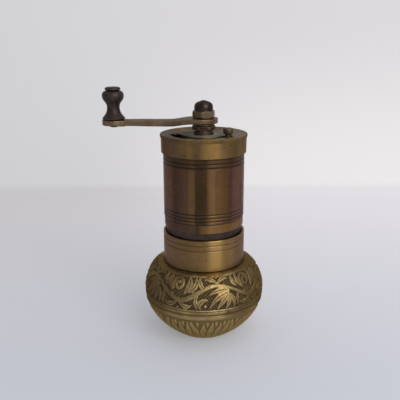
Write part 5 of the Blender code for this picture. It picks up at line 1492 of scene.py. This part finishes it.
# Acorn nut: hexagon, step, upright side, a full dome and a small blunt tip.
# The dome's radius is side * cos(turn)^fullness and its height sin(turn)^fullness.
def makeAcorn(s):
    low, high = nodeBox("acorn_nut")
    bottom, top = low[2], high[2]
    hexTop = bottom + s["hexHeight"]
    sideTop = hexTop + s["domeSide"]
    side = s["domeRadius"]
    hexagon = chamfered(bottom, hexTop, s)
    upright = ((side + 0.00022, hexTop + 0.00003), (side + 0.00004, hexTop + 0.0002))
    upright += ((side, hexTop + 0.0004), (side, sideTop - 0.0003))
    turn = np.linspace(0.0, math.radians(70.0), 16)
    up = (top - s["tipRise"] - sideTop) * np.sin(turn) ** s["fullness"]
    dome = np.column_stack((side * np.cos(turn) ** s["fullness"], sideTop + up))
    tip = np.array(s["tip"]) * (s["tipRadius"], -1.0) + (0.0, top)
    limits = np.vstack((hexagon, upright, dome, tip))
    boreTop = bottom + s["boreDepth"]
    bore = ((0.0, boreTop), (s["bore"], boreTop), (s["bore"], bottom + 0.0003), (s["bore"] + 0.0003, bottom))
    mesh = nutMesh("acornCap", bore, limits, s, False)
    closePoles(mesh)
    addPiece("acornCap", mesh, "crank", wornMetal("acornMetal", s), "acorn_nut", 28.0)


makeCapBush()
makeLockNut(lockNutSettings)
makeArmWasher()
makeArm(armSettings)
makeAcorn(acornSettings)
print("arm and nuts made")


# Knob and its pin

knobSettings = dict(
    bore=0.0019,
    baseRadius=0.00545,
    baseBand=0.0006,
    waistRadius=0.00304,
    waistHeight=0.0057,
    bulgeRadius=0.00524,
    bulgeHeight=0.0112,
    topRadius=0.0032,
    clean=(0.054, 0.038, 0.034),
    tarnished=(0.034, 0.024, 0.021),
    dark=(0.010, 0.008, 0.008),
    worn=(0.13, 0.105, 0.09),
    balance=0.5, blotchScale=150.0, spots=0.4, wear=0.35, dirt=0.7, scratches=0.5, metallic=0.75,
    roughness=(0.36, 0.50), marks=3800.0, markShade=0.10, markBump=0.5, bump=0.3,
)


# Spool: curves from the base's band in to the waist, out to the bulge and in again to the top
def makeKnob(s):
    low, high = nodeBox("knob")
    foot, top = low[2], high[2]
    base, waist, bulge = s["baseRadius"], s["waistRadius"], s["bulgeRadius"]
    waistZ = foot + s["waistHeight"]
    bulgeZ = foot + s["bulgeHeight"]
    bandZ = foot + s["baseBand"]
    lowerPull = (s["waistHeight"] - s["baseBand"]) / 2
    middlePull = (s["bulgeHeight"] - s["waistHeight"]) / 2
    upperPull = (top - bulgeZ) * 0.7
    flare = ((base + waist) / 2, bandZ + lowerPull / 2)
    lower = cubicCurve((base, bandZ), flare, (waist, waistZ - lowerPull), (waist, waistZ), 22)
    pulls = (waist, waistZ + middlePull), (bulge, bulgeZ - middlePull)
    middle = cubicCurve((waist, waistZ), *pulls, (bulge, bulgeZ), 22)
    pulls = (bulge, bulgeZ + upperPull), (s["topRadius"] + 0.0008, top)
    upper = cubicCurve((bulge, bulgeZ), *pulls, (s["topRadius"], top), 16)
    corners = [(s["bore"], foot, 0.0001), (base - 0.0001, foot, 0.0003), (base, bandZ, 0.0)]
    foothold = roundedOutline(corners, closed=False)
    outline = np.vstack((foothold, lower[1:], middle[1:], upper[1:-1], ((s["bore"], top),)))
    centre = ((low[0] + high[0]) / 2, 0.0)
    mesh = meshFromGrid("knobSpool", turnedGrid(supported(outline, longest=0.0009), 112, centre))
    addPiece("knobSpool", mesh, "knob", wornMetal("knobMetal", s), "knob", 45.0)


pinSettings = dict(
    shank=0.0016,
    lowHead=0.00215,
    topHead=0.00376,
    topHeight=0.00165,
    lowHeight=0.00085,
)


# Pin: a turned low head, a shank and a flat domed head on its own axis
def makeKnobPin(s):
    low, high = nodeBox("knob_pin")
    bottom, top = low[2], high[2]
    lowTop = bottom + s["lowHeight"]
    headFoot = top - s["topHeight"]
    head = s["topHead"]
    corners = [
        (0.0, bottom, 0.0),
        (s["lowHead"] * 0.6, bottom + 0.00004, 0.0003),
        (s["lowHead"], bottom + 0.0003, 0.0003),
        (s["lowHead"], lowTop, 0.0001),
        (s["shank"], lowTop, 0.0001),
        (s["shank"], headFoot, 0.0001),
        (head - 0.0006, headFoot, 0.0002),
        (head, headFoot + 0.0003, 0.0003),
        (head, headFoot + 0.0011, 0.0005),
        (head - 0.0008, top - 0.00008, 0.0006),
        (0.0, top, 0.0),
    ]
    finish = wornMetal("pinMetal", knobSettings | dict(worn=(0.20, 0.16, 0.14), wear=0.5))
    turnedPiece(
        "knobRivet", corners, "crank", finish, "knob_pin", 80,
        solid=True, centre=((low[0] + high[0]) / 2, 0.0), longest=0.0007)


makeKnob(knobSettings)
makeKnobPin(pinSettings)
print("knob turned")


# Inner pieces that keep their frame shape get their own finishes

steelLook = dict(
    clean=(0.42, 0.41, 0.39), tarnished=(0.26, 0.24, 0.22), dark=(0.06, 0.05, 0.045),
    worn=(0.6, 0.58, 0.55),
    balance=0.55, blotchScale=150.0, spots=0.5, roughness=(0.28, 0.44), marks=5000.0, markShade=0.1,
)
burrLook = dict(
    clean=(0.24, 0.23, 0.215), tarnished=(0.13, 0.115, 0.10), dark=(0.035, 0.03, 0.025),
    worn=(0.42, 0.40, 0.38),
    balance=0.5, blotchScale=200.0, spots=0.7, roughness=(0.4, 0.6), marks=3000.0, markShade=0.06,
    bump=0.5, pitBump=1.0,
)
plateLook = bulbSettings | dict(balance=0.5, blotchScale=120.0, spots=0.6, roughness=(0.34, 0.5), bump=0.3)
frameFinishes = {
    "steel": (
        wornMetal("steelParts", steelLook),
        ("shaft", "thrust_ball", "bridge_screw_left", "bridge_screw_right"),
    ),
    "burr": (wornMetal("burrIron", burrLook), ("inner_burr", "outer_burr")),
    "bronze": (bronze, ("lower_bridge", "upper_bridge", "bridge_bush", "shutter_washer", "adjusting_screw")),
    "plate": (wornMetal("basePlateBrass", plateLook), ("cup_base",)),
}
springSettings = dict(turns=7.0, endTurns=0.9, endPitch=0.0011, wire=0.0005, around=14, perTurn=72, bend=12)


# Spring wire: a helix whose first and last coils lie close, swept by a circle. The centre line is
# (R cos a, R sin a, z), z rising slowly over the end turns and evenly between them, with soft bends.
def makeSpring(s):
    low, high = nodeBox("feed_spring")
    coil = high[0] - s["wire"]
    angle = np.linspace(0.0, 2.0 * np.pi * s["turns"], int(s["turns"] * s["perTurn"]) + 1)
    bottom, top = low[2] + s["wire"], high[2] - s["wire"]
    turns = (0.0, s["endTurns"], s["turns"] - s["endTurns"], s["turns"])
    step = s["endTurns"] * s["endPitch"]
    z = np.interp(angle / (2.0 * np.pi), turns, (bottom, bottom + step, top - step, top))
    bend = s["bend"]
    z = np.convolve(np.pad(z, bend, mode="edge"), np.ones(2 * bend + 1) / (2 * bend + 1), mode="valid")
    line = np.column_stack((coil * pointsAt(angle), z))
    along = np.gradient(line, axis=0)
    along /= np.linalg.norm(along, axis=1)[:, None]
    outward = np.column_stack((pointsAt(angle), np.zeros(len(angle))))
    aside = np.cross(along, outward)
    turn = fullTurn(s["around"])
    ring = np.cos(turn)[None, :, None] * outward[:, None, :] + np.sin(turn)[None, :, None] * aside[:, None, :]
    mesh = meshFromGrid("springWire", line[:, None, :] + s["wire"] * ring, wrapRows=False, capEnds=True)
    piece = addPiece("springWire", mesh, None, frameFinishes["steel"][0], "feed_spring", 60.0)
    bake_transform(piece)


makeSpring(springSettings)
for material, nodes in frameFinishes.values():
    for node in nodes:
        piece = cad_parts[node]
        piece.data.materials.clear()
        piece.data.materials.append(material)
print("inner pieces finished")


# Studio: one pale sweep with painted light and shade in its colour and a little glow that lifts its shadows,
# a big soft light above on the right and one in front

stageSettings = dict(
    width=3.0,
    front=-1.6,
    bend=0.249,
    bendRadius=0.005,
    height=1.6,
    nearColour=(0.425, 0.448, 0.508),
    farLeft=(0.53, 0.510, 0.510),
    farRight=(0.655, 0.635, 0.660),
    farStart=-0.10,
    farEnd=0.25,
    wallLeft=(0.615, 0.605, 0.600),
    wallRight=(0.745, 0.720, 0.705),
    wallRightHigh=(0.605, 0.583, 0.578),
    wallRise=(0.03, 0.17),
    wallEnds=(-0.12, 0.08),
    footShade=0.84,
    footHeight=0.014,
    glow=(0.96, 0.97, 1.0),
    glowStrength=0.22,
)


# The sweep is a line (distance back, height) carried sideways: flat, a quarter circle, then upright
def makeSweep(s):
    turn = np.linspace(0.0, np.pi / 2, 14)
    radius = s["bendRadius"]
    bend = np.column_stack((s["bend"] + radius * np.sin(turn), radius * (1.0 - np.cos(turn))))
    line = np.vstack(((s["front"], 0.0), bend, (s["bend"] + radius, s["height"])))
    sides = np.array((-s["width"] / 2, s["width"] / 2))
    points = np.stack(np.broadcast_arrays(sides, line[:, 0:1], line[:, 1:2]), axis=-1).reshape(-1, 3)
    mesh = bpy.data.meshes.new("sweep")
    mesh.from_pydata(points.tolist(), [], gridFaces(len(line), 2, False, False).tolist())
    mesh.shade_smooth()
    material, inputs, place = newMaterial("sweepPaint")
    # The colour paints light and shade: the floor darker near the front and lighter to the right and further
    # back, the wall lighter on the right but darker high up there, and painted shade at the wall's foot
    rise = axis(place, "Z")
    across = stretch(axis(place, "X"), *s["wallEnds"])
    far = mixColours(across, s["farLeft"], s["farRight"])
    ground = mixColours(stretch(axis(place, "Y"), s["farStart"], s["farEnd"]), s["nearColour"], far)
    right = mixColours(stretch(rise, *s["wallRise"]), s["wallRight"], s["wallRightHigh"])
    wall = mixColours(across, s["wallLeft"], right)
    foot = stretch(rise, s["footHeight"], radius * 0.5)
    wall = mixColours(foot, wall, (s["footShade"],) * 3, "MULTIPLY")
    plug(inputs["Base Color"], mixColours(stretch(rise, 0.0, 2.0 * radius), ground, wall))
    # The glow is painted light that lifts the shadows on the sweep
    plug(inputs["Emission Color"], s["glow"])
    plug(inputs["Emission Strength"], s["glowStrength"])
    plug(inputs["Roughness"], 0.75)
    plug(inputs["Specular IOR Level"], 0.2)
    mesh.materials.append(material)
    linkObject("sweep", mesh)


lightSettings = {
    "keyLight": dict(place=(0.27, -0.11, 0.75), size=(0.55, 0.55), power=0.80, colour=(1.0, 0.985, 0.96)),
    "frontLight": dict(place=(0.34, -0.55, 0.42), size=(0.50, 0.55), power=2.7, colour=(1.0, 0.97, 0.93)),
}


# Each light is a soft rectangle that faces the target
def makeLights(lights, target=Vector((0.0, 0.0, 0.06))):
    for name, s in lights.items():
        light = bpy.data.lights.new(name, "AREA")
        light.shape = "RECTANGLE"
        light.size, light.size_y = s["size"]
        light.energy = s["power"]
        light.color = s["colour"]
        lamp = linkObject(name, light)
        lamp.location = s["place"]
        lamp.rotation_mode = "QUATERNION"
        lamp.rotation_quaternion = (target - Vector(s["place"])).to_track_quat("-Z", "Y")


worldSettings = dict(colour=(0.90, 0.91, 1.0), strength=0.44)


# Even light from all round
def makeWorld(s):
    world = bpy.data.worlds.new("studioAir")
    world.use_nodes = True
    inputs = world.node_tree.nodes["Background"].inputs
    plug(inputs["Color"], s["colour"])
    plug(inputs["Strength"], s["strength"])
    bpy.context.scene.world = world


cameraSettings = dict(
    place=(-0.0019, -0.2812, 0.1518),
    pitchDegrees=-16.30,
    rollDegrees=-0.21,
    lens=52.4,
    sensorWidth=36.0,
)


# The camera looks along +Y, pitched down and rolled a little
def makeCamera(s):
    data = bpy.data.cameras.new("camera")
    data.lens = s["lens"]
    data.sensor_width = s["sensorWidth"]
    data.clip_start = 0.01
    data.clip_end = 20.0
    camera = linkObject("camera", data)
    tilt = Matrix.Rotation(math.radians(90.0 + s["pitchDegrees"]), 4, "X")
    roll = Matrix.Rotation(math.radians(s["rollDegrees"]), 4, "Z")
    camera.matrix_world = Matrix.Translation(s["place"]) @ tilt @ roll
    bpy.context.scene.camera = camera


makeSweep(stageSettings)
makeLights(lightSettings)
makeWorld(worldSettings)
makeCamera(cameraSettings)
bpy.context.scene.view_settings.view_transform = "Standard"
print("studio set")
